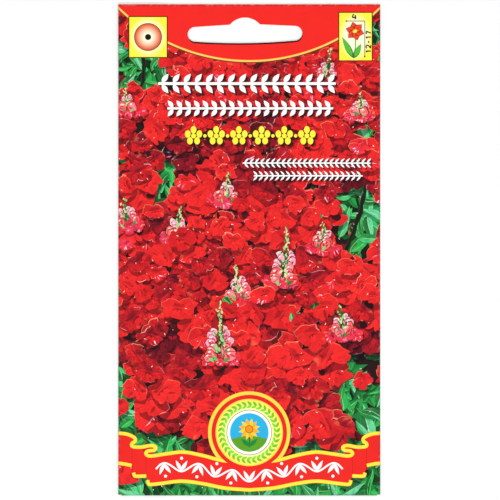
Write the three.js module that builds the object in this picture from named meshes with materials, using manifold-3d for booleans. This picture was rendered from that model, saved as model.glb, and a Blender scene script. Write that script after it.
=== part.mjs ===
// A paper seed packet with a hanging slot, lying on its back with its printed front facing up.
//
// One sheet of coated paper makes the whole outer packet. Its two sides fold under: the left one is a
// narrow seam flap, the right one is the back panel, which is glued over the flap. The front panel also
// runs on past its bottom edge as a flap, which folds under and is glued over the back panel. The top is
// closed by a band of glue below the hanging slot, and the slot is punched through both layers at once.
// A small crimped pouch of thin paper lies inside, and holds the seeds.
//
// Millimetres. X runs across the packet, Y towards the slot, Z up from the surface that it lies on.
// The origin is the centre of the packet's footprint, on that surface.
import * as THREE from "three";
import { mergeVertices } from "three/addons/utils/BufferGeometryUtils.js";
import Module from "manifold-3d";

const wasm = await Module();
wasm.setup();

// ---- The outer packet ----
const packetWidth = 80;
const packetHeight = 150;
const paper = 0.15; // the coated sheet
const glue = 0.05; // a glue film between two layers
const creaseGap = 0.05; // what a pressed fold leaves open inside
const creaseReach = 0.25; // how far a side fold reaches in from the packet's edge
const seamFlapWidth = 12;
const backEdgeInset = 0.8; // the back panel's free edge stops this far short of the left fold
const bottomFlapHeight = 14;
const bottomFlapHalfWidth = 39; // at the fold
const bottomFlapTaper = 0.1; // share of its width that the flap loses by its free edge
const bottomFoldReach = 0.3;
const flapRamp = 6; // the back panel comes down past the bottom flap over this length
const seamStepStart = 0.6; // the front steps down this far past the seam flap's edge
const seamStepLength = 4;

// ---- The pillow that the contents and the air inside give the front panel ----
const pillowHeight = 1.5;
const pillowHalfWidth = 38.8;
const pillowTop = 50; // the header's glue band holds the front down from here up
const pillowBottom = -72;

// ---- The hanging slot, measured from its own centre line ----
const slotCentreX = -1.3; // the punch is a little off the packet's centre line
const slotCentreY = 66;
const slotTilt = THREE.MathUtils.degToRad(0.65);
const slotHalfLength = 17.5;
const slotEndRadius = 2.26;
const slotShoulderX = 4.6;
const slotShoulderY = 2.85;
const slotBumpY = 4.97;
const slotBottomY = -2.86;

// ---- Glue films ----
const seamGlueWidth = 8.5;
const seamGlueInset = 1.6; // from the packet's left edge
const seamGlueTopInset = 1.5;
const headerGlueHeight = 8;
const headerGlueBottom = 51;
const bottomGlueHeight = 9.5;
const bottomGlueHalfWidth = 33;

// ---- The inner pouch and its seeds ----
const pouchWidth = 46;
const pouchHeight = 60;
const pouchCentre = { x: 4, y: -18 };
const pouchPaper = 0.1;
const pouchGap = 0.05;
const pouchSeamWidth = 7;
const crimpHeight = 6;
const crimpRibs = 5;
const crimpRibHeight = 0.08;
const seedLength = 1.1;
const seedWidth = 0.82;
const seedThickness = 0.62;
const seedPitch = 0.74;
const seedHeap = { x: 5, y: -30.5, halfWidth: 3.6, halfHeight: 2.7 };

const left = -packetWidth / 2;
const right = packetWidth / 2;
const top = packetHeight / 2;
const bottom = -packetHeight / 2;
const flapLift = paper + glue; // the bottom flap and its glue raise every layer above them
const bottomFoldStart = bottom + bottomFoldReach;
const bottomFlapEdge = bottomFoldStart + bottomFlapHeight;
const rampStart = bottomFlapEdge + 1;
const rampEnd = rampStart + flapRamp;
const seamStepFrom = left + seamFlapWidth + seamStepStart;
const seamStepTo = seamStepFrom + seamStepLength;

const smooth = (x, from, to) => THREE.MathUtils.smoothstep(x, from, to);

function evenly(from, to, count) {
  return Array.from({ length: count + 1 }, (_, i) => from + ((to - from) * i) / count);
}

// How far the back panel, and all that lies on it, is raised at y.
function liftAt(y) {
  return flapLift * (1 - smooth(y, rampStart, rampEnd));
}

// The height of the front panel's printed face.
function frontFace(x, y) {
  const overSeam = 3 * paper + glue + creaseGap;
  const pastSeam = 2 * paper + creaseGap;
  const base = THREE.MathUtils.lerp(overSeam, pastSeam, smooth(x, seamStepFrom, seamStepTo));
  const across = Math.max(0, 1 - (x / pillowHalfWidth) ** 2);
  const middle = (pillowTop + pillowBottom) / 2;
  const along = Math.max(0, 1 - ((y - middle) / ((pillowTop - pillowBottom) / 2)) ** 2) ** 0.8;
  return liftAt(y) + base + pillowHeight * across * along;
}

// ---- A sheet of paper as a solid ----
// A point of a sheet is { outer, inner }: the same spot on its printed and on its plain side.
// rows is a grid of such points. Rows may share points, so two grids can be joined along one of them.
function sheetSolid(grids) {
  const index = new Map();
  const points = [];
  const indexOf = (point) => {
    if (!index.has(point)) {
      index.set(point, points.length);
      points.push(point);
    }
    return index.get(point);
  };
  const quads = grids.flatMap((rows) =>
    rows.slice(1).flatMap((row, r) =>
      row.slice(1).map((_, c) => [rows[r][c], rows[r][c + 1], row[c + 1], row[c]].map(indexOf)),
    ),
  );
  const edges = new Set(quads.flatMap((q) => q.map((a, i) => `${a},${q[(i + 1) % 4]}`)));
  const count = points.length;
  const triangles = [];
  const addQuad = (a, b, c, d) => triangles.push(a, b, c, a, c, d);
  for (const [a, b, c, d] of quads) {
    addQuad(a, b, c, d);
    addQuad(c + count, b + count, a + count, d + count);
  }
  for (const edge of edges) {
    const [a, b] = edge.split(",").map(Number);
    if (!edges.has(`${b},${a}`)) addQuad(b, a, a + count, b + count);
  }
  const positions = [...points.map((p) => p.outer), ...points.map((p) => p.inner)].flat();
  return solidFrom(positions, triangles);
}

function solidFrom(positions, triangles) {
  const make = (order) =>
    new wasm.Manifold(
      new wasm.Mesh({
        numProp: 3,
        vertProperties: new Float32Array(positions),
        triVerts: new Uint32Array(order),
      }),
    );
  const made = make(triangles);
  return made.volume() > 0 ? made : make([...triangles].reverse());
}

function solidOf(geometry) {
  const bare = geometry.clone();
  bare.deleteAttribute("normal");
  bare.deleteAttribute("uv");
  const merged = mergeVertices(bare, 1e-4);
  return solidFrom(Array.from(merged.attributes.position.array), Array.from(merged.index.array));
}

function geometryOf(solid) {
  const mesh = solid.getMesh();
  const geometry = new THREE.BufferGeometry();
  geometry.setAttribute("position", new THREE.BufferAttribute(mesh.vertProperties, 3));
  geometry.setIndex(new THREE.BufferAttribute(mesh.triVerts, 1));
  geometry.computeVertexNormals();
  return geometry;
}

// The points round a pressed fold at height y, from one flat layer to the other.
// side is -1 for a fold at the left and 1 for one at the right.
function sideFold(side, edge, reach, thickness, y, fromZ, toZ) {
  const middle = (fromZ + toZ) / 2;
  const radius = Math.abs(toZ - fromZ) / 2;
  const way = Math.sign(toZ - fromZ);
  return evenly(0, Math.PI, 6).map((angle) => {
    const at = (across, up) => [
      edge - side * reach + side * across * Math.sin(angle),
      y,
      middle - way * up * Math.cos(angle),
    ];
    return { outer: at(reach, radius), inner: at(reach - thickness, radius - thickness) };
  });
}

// One line across a folded sheet, at y: seam flap, left fold, front, right fold, back.
function foldedLine(shape, y, frontStations) {
  const { edges, thickness, reach, seamInnerEdge, backFreeEdge } = shape;
  const back = shape.backFace(y);
  const seam = back + thickness + shape.gap;
  const flat = (x, outerZ, innerZ) => ({ outer: [x, y, outerZ], inner: [x, y, innerZ] });
  const foldStart = edges[0] + reach;
  const foldEnd = edges[1] - reach;
  const front = frontStations.map((x) => {
    const z = shape.frontFace(x, y);
    return flat(x, z, z - thickness);
  });
  return [
    flat(seamInnerEdge, seam, seam + thickness),
    flat((seamInnerEdge + foldStart) / 2, seam, seam + thickness),
    ...sideFold(-1, edges[0], reach, thickness, y, seam, shape.frontFace(foldStart, y)),
    ...front,
    ...sideFold(1, edges[1], reach, thickness, y, shape.frontFace(foldEnd, y), back),
    ...shape.backStations.map((x) => flat(x, back, back + thickness)),
    flat(backFreeEdge, back, back + thickness),
  ];
}

// ---- The outer packet ----
// Where the front's grid has its lines: close together over the seam step, the ramp and the pillow.
const frontStations = [
  -bottomFlapHalfWidth,
  -34,
  ...evenly(seamStepFrom, seamStepTo, 3),
  ...evenly(-20, 35, 11),
  bottomFlapHalfWidth,
];

const outerShape = {
  edges: [left, right],
  thickness: paper,
  reach: creaseReach,
  gap: glue,
  seamInnerEdge: left + seamFlapWidth,
  backFreeEdge: left + backEdgeInset,
  backStations: [bottomGlueHalfWidth, 0, -bottomGlueHalfWidth],
  backFace: liftAt,
  frontFace,
};

const rowHeights = [
  bottomFoldStart,
  -73,
  -70,
  -66,
  ...evenly(rampStart, rampEnd, 3),
  ...evenly(-50, 45, 19),
  pillowTop,
  headerGlueBottom + headerGlueHeight,
  top,
];

function bottomFlap(frontRow) {
  const fold = evenly(0, Math.PI, 6).slice(1).map((angle) =>
    frontRow.map(({ outer: [x, y, z] }) => {
      const at = (reach, radius) => [x, y - reach * Math.sin(angle), z / 2 + radius * Math.cos(angle)];
      return { outer: at(bottomFoldReach, z / 2), inner: at(bottomFoldReach - paper, z / 2 - paper) };
    }),
  );
  const flat = evenly(0, 1, 3).slice(1).map((share) =>
    frontRow.map(({ outer: [x, y] }) => {
      const place = [x * (1 - bottomFlapTaper * share), y + bottomFlapHeight * share];
      return { outer: [...place, 0], inner: [...place, paper] };
    }),
  );
  return [frontRow, ...fold, ...flat];
}

function slotOutline() {
  const endX = slotHalfLength - slotEndRadius;
  const bumpRise = slotBumpY - slotShoulderY;
  const bumpRadius = (slotShoulderX ** 2 + bumpRise ** 2) / (2 * bumpRise);
  const bumpAngle = Math.asin(slotShoulderX / bumpRadius);
  const shape = new THREE.Shape();
  shape.moveTo(-endX, -slotEndRadius);
  shape.quadraticCurveTo(0, 2 * slotBottomY + slotEndRadius, endX, -slotEndRadius);
  shape.absarc(endX, 0, slotEndRadius, -Math.PI / 2, Math.PI / 2, false);
  shape.lineTo(slotShoulderX, slotShoulderY);
  const bumpStart = Math.PI / 2 - bumpAngle;
  shape.absarc(0, slotBumpY - bumpRadius, bumpRadius, bumpStart, Math.PI - bumpStart, false);
  shape.lineTo(-endX, slotEndRadius);
  shape.absarc(-endX, 0, slotEndRadius, Math.PI / 2, (3 * Math.PI) / 2, false);
  return shape;
}

function slotPunch() {
  const depth = 4;
  const settings = { depth, bevelEnabled: false, curveSegments: 10 };
  const geometry = new THREE.ExtrudeGeometry(slotOutline(), settings);
  geometry.translate(0, 0, -depth / 2);
  geometry.rotateZ(slotTilt);
  geometry.translate(slotCentreX, slotCentreY, 0);
  return solidOf(geometry);
}

function outerPacket() {
  const rows = rowHeights.map((y) => foldedLine(outerShape, y, frontStations));
  const firstFront = rows[0].findIndex((p) => p.outer[0] === -bottomFlapHalfWidth);
  const flapRow = rows[0].slice(firstFront, firstFront + frontStations.length);
  return sheetSolid([rows, bottomFlap([...flapRow].reverse())]).subtract(slotPunch());
}

// ---- Glue films, which meet the layers face to face ----
function film(x0, x1, heights, baseZ) {
  const point = (x, y) => ({ outer: [x, y, baseZ(y) + glue], inner: [x, y, baseZ(y)] });
  return sheetSolid([heights.map((y) => [point(x0, y), point(x1, y)])]);
}

const seamGlueFilm = film(
  left + seamGlueInset,
  left + seamGlueInset + seamGlueWidth,
  [...rowHeights.slice(1, -1), top - seamGlueTopInset],
  (y) => liftAt(y) + paper,
);
const headerGlueFilm = film(
  seamStepTo,
  right - 1.5,
  [headerGlueBottom, headerGlueBottom + headerGlueHeight],
  () => paper,
);
const bottomGlueFilm = film(
  -bottomGlueHalfWidth,
  bottomGlueHalfWidth,
  [bottomFlapEdge - 1.5 - bottomGlueHeight, bottomFlapEdge - 1.5],
  () => paper,
);

// ---- The inner pouch ----
// Its lower layer lies flat on the back panel, and its upper one rises over the seeds.
function pouchTop(x, y) {
  const flatTop = 2 * pouchPaper + pouchGap;
  const fromSeeds = Math.hypot((x - seedHeap.x) / 15, (y - seedHeap.y) / 11);
  const overSeeds = (1 - smooth(fromSeeds, 0.42, 1)) * (seedThickness + 0.25);
  const stepFrom = pouchCentre.x - pouchWidth / 2 + pouchSeamWidth;
  const seamStep = (pouchPaper + pouchGap) * (1 - smooth(x, stepFrom + 0.3, stepFrom + 2));
  return paper + flatTop + seamStep + overSeeds;
}

const pouchEdges = [pouchCentre.x - pouchWidth / 2, pouchCentre.x + pouchWidth / 2];
const pouchEnds = [pouchCentre.y - pouchHeight / 2, pouchCentre.y + pouchHeight / 2];

const pouchShape = {
  edges: pouchEdges,
  thickness: pouchPaper,
  reach: 0.18,
  gap: pouchGap,
  seamInnerEdge: pouchEdges[0] + pouchSeamWidth,
  backFreeEdge: pouchEdges[0] + 0.7,
  backStations: [pouchCentre.x],
  backFace: () => paper,
  frontFace: pouchTop,
};

function crimpedEnd(end, inward) {
  const height = 2 * pouchPaper + pouchGap;
  const inset = 0.4;
  const width = pouchWidth - 2 * inset;
  const band = new THREE.BoxGeometry(width, crimpHeight, height);
  const middle = end + (inward * crimpHeight) / 2;
  let solid = solidOf(band.translate(pouchCentre.x, middle, paper + height / 2));
  const pitch = crimpHeight / crimpRibs;
  const ribLength = width - pouchSeamWidth - 3; // they stop short of the raised seam
  for (let i = 0; i < crimpRibs; i++) {
    const ribY = end + inward * pitch * (i + 0.5);
    const rib = new THREE.CylinderGeometry(pitch / 4, pitch / 4, ribLength, 4);
    rib.scale(1, 1, crimpRibHeight / (pitch / 4));
    rib.rotateZ(Math.PI / 2);
    rib.translate(pouchEdges[1] - inset - ribLength / 2, ribY, paper + height);
    solid = solid.add(solidOf(rib));
  }
  return solid;
}

function innerPouch() {
  const stations = [
    pouchEdges[0] + pouchSeamWidth + 0.3,
    pouchEdges[0] + pouchSeamWidth + 2,
    ...evenly(-9, 19, 14),
    pouchEdges[1] - 2,
  ];
  const heights = [
    pouchEnds[0],
    ...evenly(seedHeap.y - 11, seedHeap.y + 11, 10),
    pouchEnds[1] - crimpHeight,
    pouchEnds[1],
  ];
  const rows = heights.map((y) => foldedLine(pouchShape, y, stations));
  return sheetSolid([rows]).add(crimpedEnd(pouchEnds[0], 1)).add(crimpedEnd(pouchEnds[1], -1));
}

// ---- The seeds: a loose heap, one grain deep, its grains touching ----
function seededRandom(seed) {
  let state = seed;
  return () => {
    state = (state * 1664525 + 1013904223) % 4294967296;
    return state / 4294967296;
  };
}

function seedGrains() {
  const random = seededRandom(7);
  const grains = [];
  const floor = paper + pouchPaper;
  const rowPitch = (seedPitch * Math.sqrt(3)) / 2;
  const rowCount = Math.ceil(seedHeap.halfHeight / rowPitch);
  const columnCount = Math.ceil(seedHeap.halfWidth / seedPitch);
  for (let r = -rowCount; r <= rowCount; r++) {
    for (let c = -columnCount; c <= columnCount; c++) {
      const x = (c + (r % 2) / 2) * seedPitch;
      const y = r * rowPitch;
      if (Math.hypot(x / seedHeap.halfWidth, y / seedHeap.halfHeight) > 1) continue;
      const grain = new THREE.IcosahedronGeometry(0.5);
      grain.rotateX(random() * Math.PI);
      grain.scale(seedLength, seedWidth, seedThickness);
      grain.rotateZ(random() * Math.PI);
      const lowest = new THREE.Box3().setFromBufferAttribute(grain.attributes.position).min.z;
      grain.translate(seedHeap.x + x, seedHeap.y + y, floor - lowest);
      grains.push(solidOf(grain));
    }
  }
  return wasm.Manifold.union(grains);
}

// ---- The assembly ----
function material(color, roughness) {
  return new THREE.MeshStandardMaterial({ color, roughness, metalness: 0 });
}

const printedPaper = material(0xd8261f, 0.42);
const thinPaper = material(0xf1ece0, 0.8);
const driedGlue = material(0xe9e2c8, 0.5);
const seedCoat = material(0x2b211a, 0.85);

const packet = new THREE.Group();
packet.name = "seed_packet";

function place(name, solid, look) {
  const mesh = new THREE.Mesh(geometryOf(solid), look);
  mesh.name = name;
  packet.add(mesh);
}

place("outer_packet", outerPacket(), printedPaper);
place("side_seam_glue", seamGlueFilm, driedGlue);
place("header_glue", headerGlueFilm, driedGlue);
place("bottom_flap_glue", bottomGlueFilm, driedGlue);
place("inner_pouch", innerPouch(), thinPaper);
place("seeds", seedGrains(), seedCoat);

export default packet;
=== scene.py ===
"""A hanging seed packet: one folded and glued sheet of printed paper, with a pouch of seeds inside.

The packet lies on its back. X runs across the printed front, Y towards the hanging slot and Z out of the
front. The print is drawn as flat shapes of ink on the unfolded sheet, in millimetres. Then the sheet is
folded.
"""

import math
import random

import bpy
import numpy as np
from bpy.props import FloatProperty, FloatVectorProperty, IntProperty, PointerProperty
from mathutils import Color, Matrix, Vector, noise
from mathutils.geometry import delaunay_2d_cdt


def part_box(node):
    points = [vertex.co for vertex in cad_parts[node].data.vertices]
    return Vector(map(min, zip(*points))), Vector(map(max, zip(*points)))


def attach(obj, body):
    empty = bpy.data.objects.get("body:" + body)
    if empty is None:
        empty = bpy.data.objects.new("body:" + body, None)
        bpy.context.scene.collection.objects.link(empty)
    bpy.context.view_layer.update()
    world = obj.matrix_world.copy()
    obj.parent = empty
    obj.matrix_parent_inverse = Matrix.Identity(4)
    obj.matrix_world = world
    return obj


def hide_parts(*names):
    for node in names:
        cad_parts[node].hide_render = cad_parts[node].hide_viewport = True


bl_info = {
    "name": "Printed Seed Packet",
    "version": (1, 0, 0),
    "blender": (4, 5, 0),
    "location": "3D View > Sidebar > Seed Packet",
    "description": "Builds a folded paper seed packet with a flower picture, a hanging slot and seeds",
    "category": "Add Mesh",
}

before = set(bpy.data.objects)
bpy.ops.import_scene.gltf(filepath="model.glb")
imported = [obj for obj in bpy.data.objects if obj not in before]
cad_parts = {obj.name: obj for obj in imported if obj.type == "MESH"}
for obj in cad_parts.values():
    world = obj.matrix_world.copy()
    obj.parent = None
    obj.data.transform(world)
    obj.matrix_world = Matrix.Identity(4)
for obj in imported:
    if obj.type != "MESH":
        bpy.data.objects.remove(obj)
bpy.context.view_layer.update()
PACKET_LOW, PACKET_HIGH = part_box("outer_packet")
POUCH_LOW, POUCH_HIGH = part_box("inner_pouch")
MM = 0.001
UP = math.pi / 2  # a quarter turn, and so the heading of +Y


def length_property(name, description, millimetres):
    """A size that the sidebar shows as a length."""
    default = millimetres * MM
    return FloatProperty(
        name=name, description=description, default=default, min=0, precision=5, subtype="DISTANCE"
    )


def ink_property(name, description, colour):
    """A printed colour, as it looks on a screen."""
    return FloatVectorProperty(
        name=name, description=description, default=colour, size=3, min=0, max=1, subtype="COLOR_GAMMA"
    )


# ---- What a user would change ----


class SheetSizes(bpy.types.PropertyGroup):
    """The folded sheet, the same sizes as the solid that it stands for."""

    paper: length_property("Paper", "Thickness of the coated sheet", 0.15)
    glue: length_property("Glue", "Thickness of the glue films", 0.05)
    crease_gap: length_property("Crease gap", "What a pressed fold leaves open inside", 0.05)
    crease_reach: length_property("Crease reach", "How far a side fold reaches in from the edge", 0.25)
    seam_flap: length_property("Seam flap", "Width of the narrow flap at the left", 12)
    back_inset: length_property("Back inset", "From the left fold to the back panel's free edge", 0.8)
    bottom_reach: length_property("Bottom crease", "How far the bottom fold reaches in", 0.3)
    flap_height: length_property("Bottom flap", "Height of the flap that closes the bottom", 14)
    flap_half_width: length_property("Flap half width", "Half the bottom flap's width, at the fold", 39)
    flap_taper: FloatProperty(
        name="Flap taper", description="Share of its width that the flap loses", default=0.1, min=0, max=1
    )
    ramp: length_property("Ramp", "Length over which the back comes down past the flap", 6)
    step_start: length_property("Step start", "From the seam flap's edge to the front's step", 0.6)
    step_length: length_property("Step length", "Length over which the front steps down", 4)
    pillow: length_property("Pillow", "How far the contents raise the front", 1.5)
    pillow_half_width: length_property("Pillow half width", "Half the width of the raised part", 38.8)


class SlotSizes(bpy.types.PropertyGroup):
    """The hanging slot, which is punched through both layers."""

    left_of_centre: length_property("Left of centre", "From the packet's centre line to the slot's", 1.3)
    below_top: length_property("Below top", "From the packet's top edge to the slot's centre line", 9)
    tilt: FloatProperty(
        name="Tilt", description="Turn of the punch", default=math.radians(0.65), subtype="ANGLE"
    )
    half_length: length_property("Half length", "Half the slot's length", 17.5)
    end_radius: length_property("End radius", "Radius of the slot's round ends", 2.26)
    shoulder_x: length_property("Shoulder", "Half the width of the raised middle", 4.6)
    shoulder_y: length_property("Shoulder height", "Height at the foot of the raised middle", 2.85)
    bump_y: length_property("Bump height", "Height of the raised middle's top", 4.97)
    sag: length_property("Sag", "How far the lower edge bows down in the middle", 2.86)


class PictureInks(bpy.types.PropertyGroup):
    """The flower picture."""

    seed: IntProperty(
        name="Seed", description="Changes where the blooms and leaves stand", default=11, min=0
    )
    bright: ink_property("Bright petal", "Petals in full light", (0.975, 0.160, 0.155))
    strong: ink_property("Strong petal", "Petals in good light", (0.895, 0.120, 0.135))
    middle: ink_property("Middle petal", "Petals in half light", (0.78, 0.105, 0.145))
    shaded: ink_property("Shaded petal", "Petals in shade", (0.58, 0.06, 0.13))
    deep: ink_property("Deep petal", "Petals far down between the blooms", (0.34, 0.05, 0.09))
    rim: ink_property("Petal rim", "Thin light edge of a petal", (1.0, 0.72, 0.50))
    blush: ink_property("Blush", "Pink of young blooms", (0.94, 0.34, 0.55))
    ground: ink_property("Ground", "The darkest gaps", (0.13, 0.06, 0.055))
    leaf: ink_property("Leaf", "Leaves in full light", (0.18, 0.77, 0.32))
    leaf_dark: ink_property("Dark leaf", "Leaves in shade", (0.08, 0.38, 0.16))
    leaf_light: ink_property("Leaf sheen", "Shiny leaf tops", (0.44, 0.89, 0.62))
    bud: ink_property("Bud", "Tiny unopened buds", (0.90, 0.88, 0.66))
    bud_pale: ink_property("Pale bud", "Light side of the larger buds", (1.0, 0.87, 0.86))


class PanelInks(bpy.types.PropertyGroup):
    """The printed panels, ribbon and badges over the picture."""

    red: ink_property("Red", "Header and ribbon", (0.945, 0.150, 0.125))
    gold: ink_property("Gold", "The line under the header", (1.0, 0.80, 0.33))
    yellow: ink_property("Yellow", "Ribbon borders and the round badge", (1.0, 0.90, 0.25))
    lemon: ink_property("Lemon", "The square badges and one ornament row", (1.0, 0.945, 0.26))
    cream: ink_property("Cream", "Badge centres and the back panel", (1.0, 0.985, 0.86))
    white: ink_property("White", "Ornament rows", (1.0, 1.0, 1.0))
    shadow: ink_property("Shadow", "Drop shadows", (0.22, 0.02, 0.03))
    blue: ink_property("Blue", "Sky of the round badge", (0.17, 0.70, 0.885))
    orange: ink_property("Orange", "Flower of the round badge", (0.98, 0.58, 0.12))
    grass: ink_property("Grass green", "Leaves of the badges", (0.42, 0.74, 0.16))
    stem: ink_property("Stem green", "Stem and leaves of the round badge's daisy", (0.10, 0.55, 0.25))
    line: ink_property("Fine line", "Thin dark outlines", (0.30, 0.12, 0.07))


class StageSettings(bpy.types.PropertyGroup):
    """The table, the lamps and the camera."""

    floor: ink_property("Floor", "The pale table", (0.95, 0.95, 0.95))
    lamp_power: FloatProperty(
        name="Lamps", description="Power that all lamps take shares of", default=5.4, min=0, unit="POWER"
    )
    room_light: FloatProperty(
        name="Room light", description="Strength of the white light from all round", default=0.5, min=0
    )
    camera_height: FloatProperty(
        name="Camera height",
        description="Height of the camera over the table",
        default=0.8487,
        subtype="DISTANCE",
    )
    lens: FloatProperty(name="Lens", description="Focal length", default=200, min=1, unit="CAMERA")


# ---- The folded sheet ----


def smooth(x, start, end):
    """0 up to the start and 1 past the end, with an even curve between."""
    t = np.clip((x - start) / (end - start), 0, 1)
    return t * t * (3 - 2 * t)


class FoldedSheet:
    """Where each spot (u, v) of the flat blank ends up on the folded packet, in millimetres.

    On the front panel u is X and v is Y. Past a side fold, u runs on over the seam flap or the back
    panel, and past the bottom fold, v runs on over the bottom flap.
    """

    # The raised part of the front ends this far below the top edge and above the bottom fold.
    pillow_below_top, pillow_above_fold = 25, 2.7

    # How deep handling has dented the raised part, and how far the pouch's outline shows through.
    dents, pouch_step = 0.05, 0.05

    def __init__(self, sizes):
        for name in SheetSizes.__annotations__:
            value = getattr(sizes, name)
            setattr(self, name, value if name == "flap_taper" else value / MM)
        self.right = PACKET_HIGH.x / MM
        self.top = PACKET_HIGH.y / MM
        self.fold = self.right - self.crease_reach
        self.side_arc = math.pi * (self.crease_reach + self.paper + self.crease_gap / 2) / 2
        self.bottom_fold = PACKET_LOW.y / MM + self.bottom_reach
        bottom_half_height = (3 * self.paper + self.glue + self.crease_gap) / 2
        self.bottom_arc = math.pi * (self.bottom_reach + bottom_half_height) / 2
        self.seam_edge = -(self.fold + self.side_arc + self.fold - self.right + self.seam_flap)
        self.back_edge = self.fold + self.side_arc + self.fold + self.right - self.back_inset
        self.flap_edge = self.bottom_fold - self.bottom_arc - self.flap_height
        self.ramp_start = self.bottom_fold + self.flap_height + 1

    def lift(self, y):
        """How far the bottom flap raises what lies on it."""
        raised = self.paper + self.glue
        return raised * (1 - smooth(y, self.ramp_start, self.ramp_start + self.ramp))

    def front(self, x, y):
        """The height of the printed face."""
        flat = 2 * self.paper + self.crease_gap
        step = self.seam_flap - self.right + self.step_start
        over_seam = (self.paper + self.glue) * (1 - smooth(x, step, step + self.step_length))
        across = np.maximum(0, 1 - (x / self.pillow_half_width) ** 2)
        pillow_top = self.top - self.pillow_below_top
        pillow_bottom = self.bottom_fold + self.pillow_above_fold
        middle, half = (pillow_top + pillow_bottom) / 2, (pillow_top - pillow_bottom) / 2
        along = np.maximum(0, 1 - ((y - middle) / half) ** 2) ** 0.8
        waves = 1 + np.sin(0.23 * x + 0.11 * y) * np.cos(0.17 * y - 0.09 * x)
        handled = self.dents * across * along * waves
        height = self.lift(y) + flat + over_seam + self.pillow * across * along
        return height + handled + self.pouch_print(x, y)

    def pouch_print(self, x, y):
        """The pouch inside shows through the front as a faint step."""
        over = []
        for value, low, high in ((x, POUCH_LOW.x, POUCH_HIGH.x), (y, POUCH_LOW.y, POUCH_HIGH.y)):
            past_low = smooth(value, low / MM - 1, low / MM + 1)
            over.append(past_low * (1 - smooth(value, high / MM - 1, high / MM + 1)))
        return self.pouch_step * over[0] * over[1]

    def place(self, u, v, depth=0.0):
        """Points in metres, at this depth under the printed side."""
        y = np.maximum(v, self.bottom_fold)
        side = np.sign(u)
        past_fold = np.abs(u) - self.fold
        angle = np.clip(past_fold / self.side_arc, 0, 1) * math.pi
        back = self.lift(y)
        far_layer = np.where(u < 0, back + self.paper + self.glue, back)
        front = self.front(side * np.minimum(np.abs(u), self.fold), y)
        x = np.minimum(np.abs(u), self.fold) - np.maximum(past_fold - self.side_arc, 0)
        x = side * (x + (self.crease_reach - depth) * np.sin(angle))
        z = (front + far_layer) / 2 + ((front - far_layer) / 2 - depth) * np.cos(angle)
        below = np.maximum(self.bottom_fold - v, 0)
        past_bottom = np.maximum(below - self.bottom_arc, 0)
        turn = np.clip(below / self.bottom_arc, 0, 1) * math.pi
        on_flap = below > 0.001
        x = np.where(on_flap, u * (1 - self.flap_taper * past_bottom / self.flap_height), x)
        y = np.where(on_flap, y - (self.bottom_reach - depth) * np.sin(turn) + past_bottom, y)
        z = np.where(on_flap, front / 2 + (front / 2 - depth) * np.cos(turn), z)
        return np.stack((x, y, z), axis=-1) * MM

    def on_back(self, points):
        """Spots of the blank that lie behind these spots of the front."""
        points = np.asarray(points, float)
        return np.stack((2 * self.fold + self.side_arc - points[:, 0], points[:, 1]), axis=-1)

    def outline(self, pitch=2.5):
        """The blank's outline, with spots all along it, so that it can follow the steps and ramps."""
        flap, start, low, top = self.flap_half_width, self.bottom_fold, self.flap_edge, self.top
        corners = [(self.seam_edge, start), (-flap, start), (-flap, low), (flap, low), (flap, start)]
        corners += [(self.back_edge, start), (self.back_edge, top), (self.seam_edge, top)]
        spots = []
        for here, there in zip(np.array(corners), np.roll(corners, -1, axis=0)):
            steps = math.ceil(np.linalg.norm(there - here) / pitch)
            spots.extend(here + (there - here) * step / steps for step in range(steps))
        return np.array(spots)

    def creases(self):
        """Lines across the blank where the sheet starts or stops bending, or bends."""
        lines = []
        shares = (-1, *np.linspace(0, 1, 9), 2)
        for side in (-1, 1):
            for share in shares:
                u = side * (self.fold + share * self.side_arc)
                lines.append([(u, v) for v in np.linspace(self.bottom_fold, self.top, 61)])
        for share in shares[1:]:
            v = self.bottom_fold - share * self.bottom_arc
            lines.append([(u, v) for u in np.linspace(-self.flap_half_width, self.flap_half_width, 33)])
        for v in (self.bottom_fold + self.bottom_arc, self.top - 0.35, self.top - 0.8):
            lines.append([(u, v) for u in np.linspace(-self.fold, self.fold, 33)])
        return lines

    def grid(self, pitch):
        """Spots all over the blank, so that its faces follow the pillow, steps and ramps."""
        width, height = self.back_edge - self.seam_edge, self.top - self.flap_edge
        columns = np.linspace(self.seam_edge, self.back_edge, round(width / pitch))[1:-1]
        rows = np.linspace(self.flap_edge, self.top, round(height / pitch))[1:-1]
        spots = [(u, v) for u in columns for v in rows]
        return [(u, v) for u, v in spots if v > self.bottom_fold or abs(u) < self.flap_half_width]


def slot_outline(sheet, slot):
    """The hanging slot on the front panel: round ends, a bowed lower edge and a raised middle."""
    half, end = slot.half_length / MM, slot.end_radius / MM
    shoulder = np.array((slot.shoulder_x, slot.shoulder_y)) / MM
    bump, sag = slot.bump_y / MM, slot.sag / MM
    end_x = half - end
    radius = (shoulder[0] ** 2 + (bump - shoulder[1]) ** 2) / (2 * (bump - shoulder[1]))
    bump_angle = math.asin(shoulder[0] / radius)
    points = [(x, -sag + (sag - end) * (x / end_x) ** 2) for x in np.linspace(-end_x, end_x, 25)]
    points += [(end_x + end * math.cos(a), end * math.sin(a)) for a in np.linspace(-UP, UP, 14)[1:]]
    for angle in np.linspace(UP - bump_angle, UP + bump_angle, 15):
        points.append((radius * math.cos(angle), bump - radius + radius * math.sin(angle)))
    points += [(-end_x + end * math.cos(a), end * math.sin(a)) for a in np.linspace(UP, 3 * UP, 14)[:-1]]
    return turned(points, slot.tilt) + (-slot.left_of_centre / MM, sheet.top - slot.below_top / MM)


# ---- Drawing ----


def turned(points, angle):
    """The points turned about the origin."""
    c, s = math.cos(angle), math.sin(angle)
    return np.asarray(points, float) @ np.array(((c, s), (-s, c)))


def heading(angle):
    """A step of length 1 that way."""
    return np.array((math.cos(angle), math.sin(angle)))


def left_of(way):
    """The way at a right angle, to the left."""
    return np.array((-way[1], way[0]))


def circle(centre, radius, count=24):
    """A round outline."""
    return oval(centre, radius, radius, 0, count)


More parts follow.
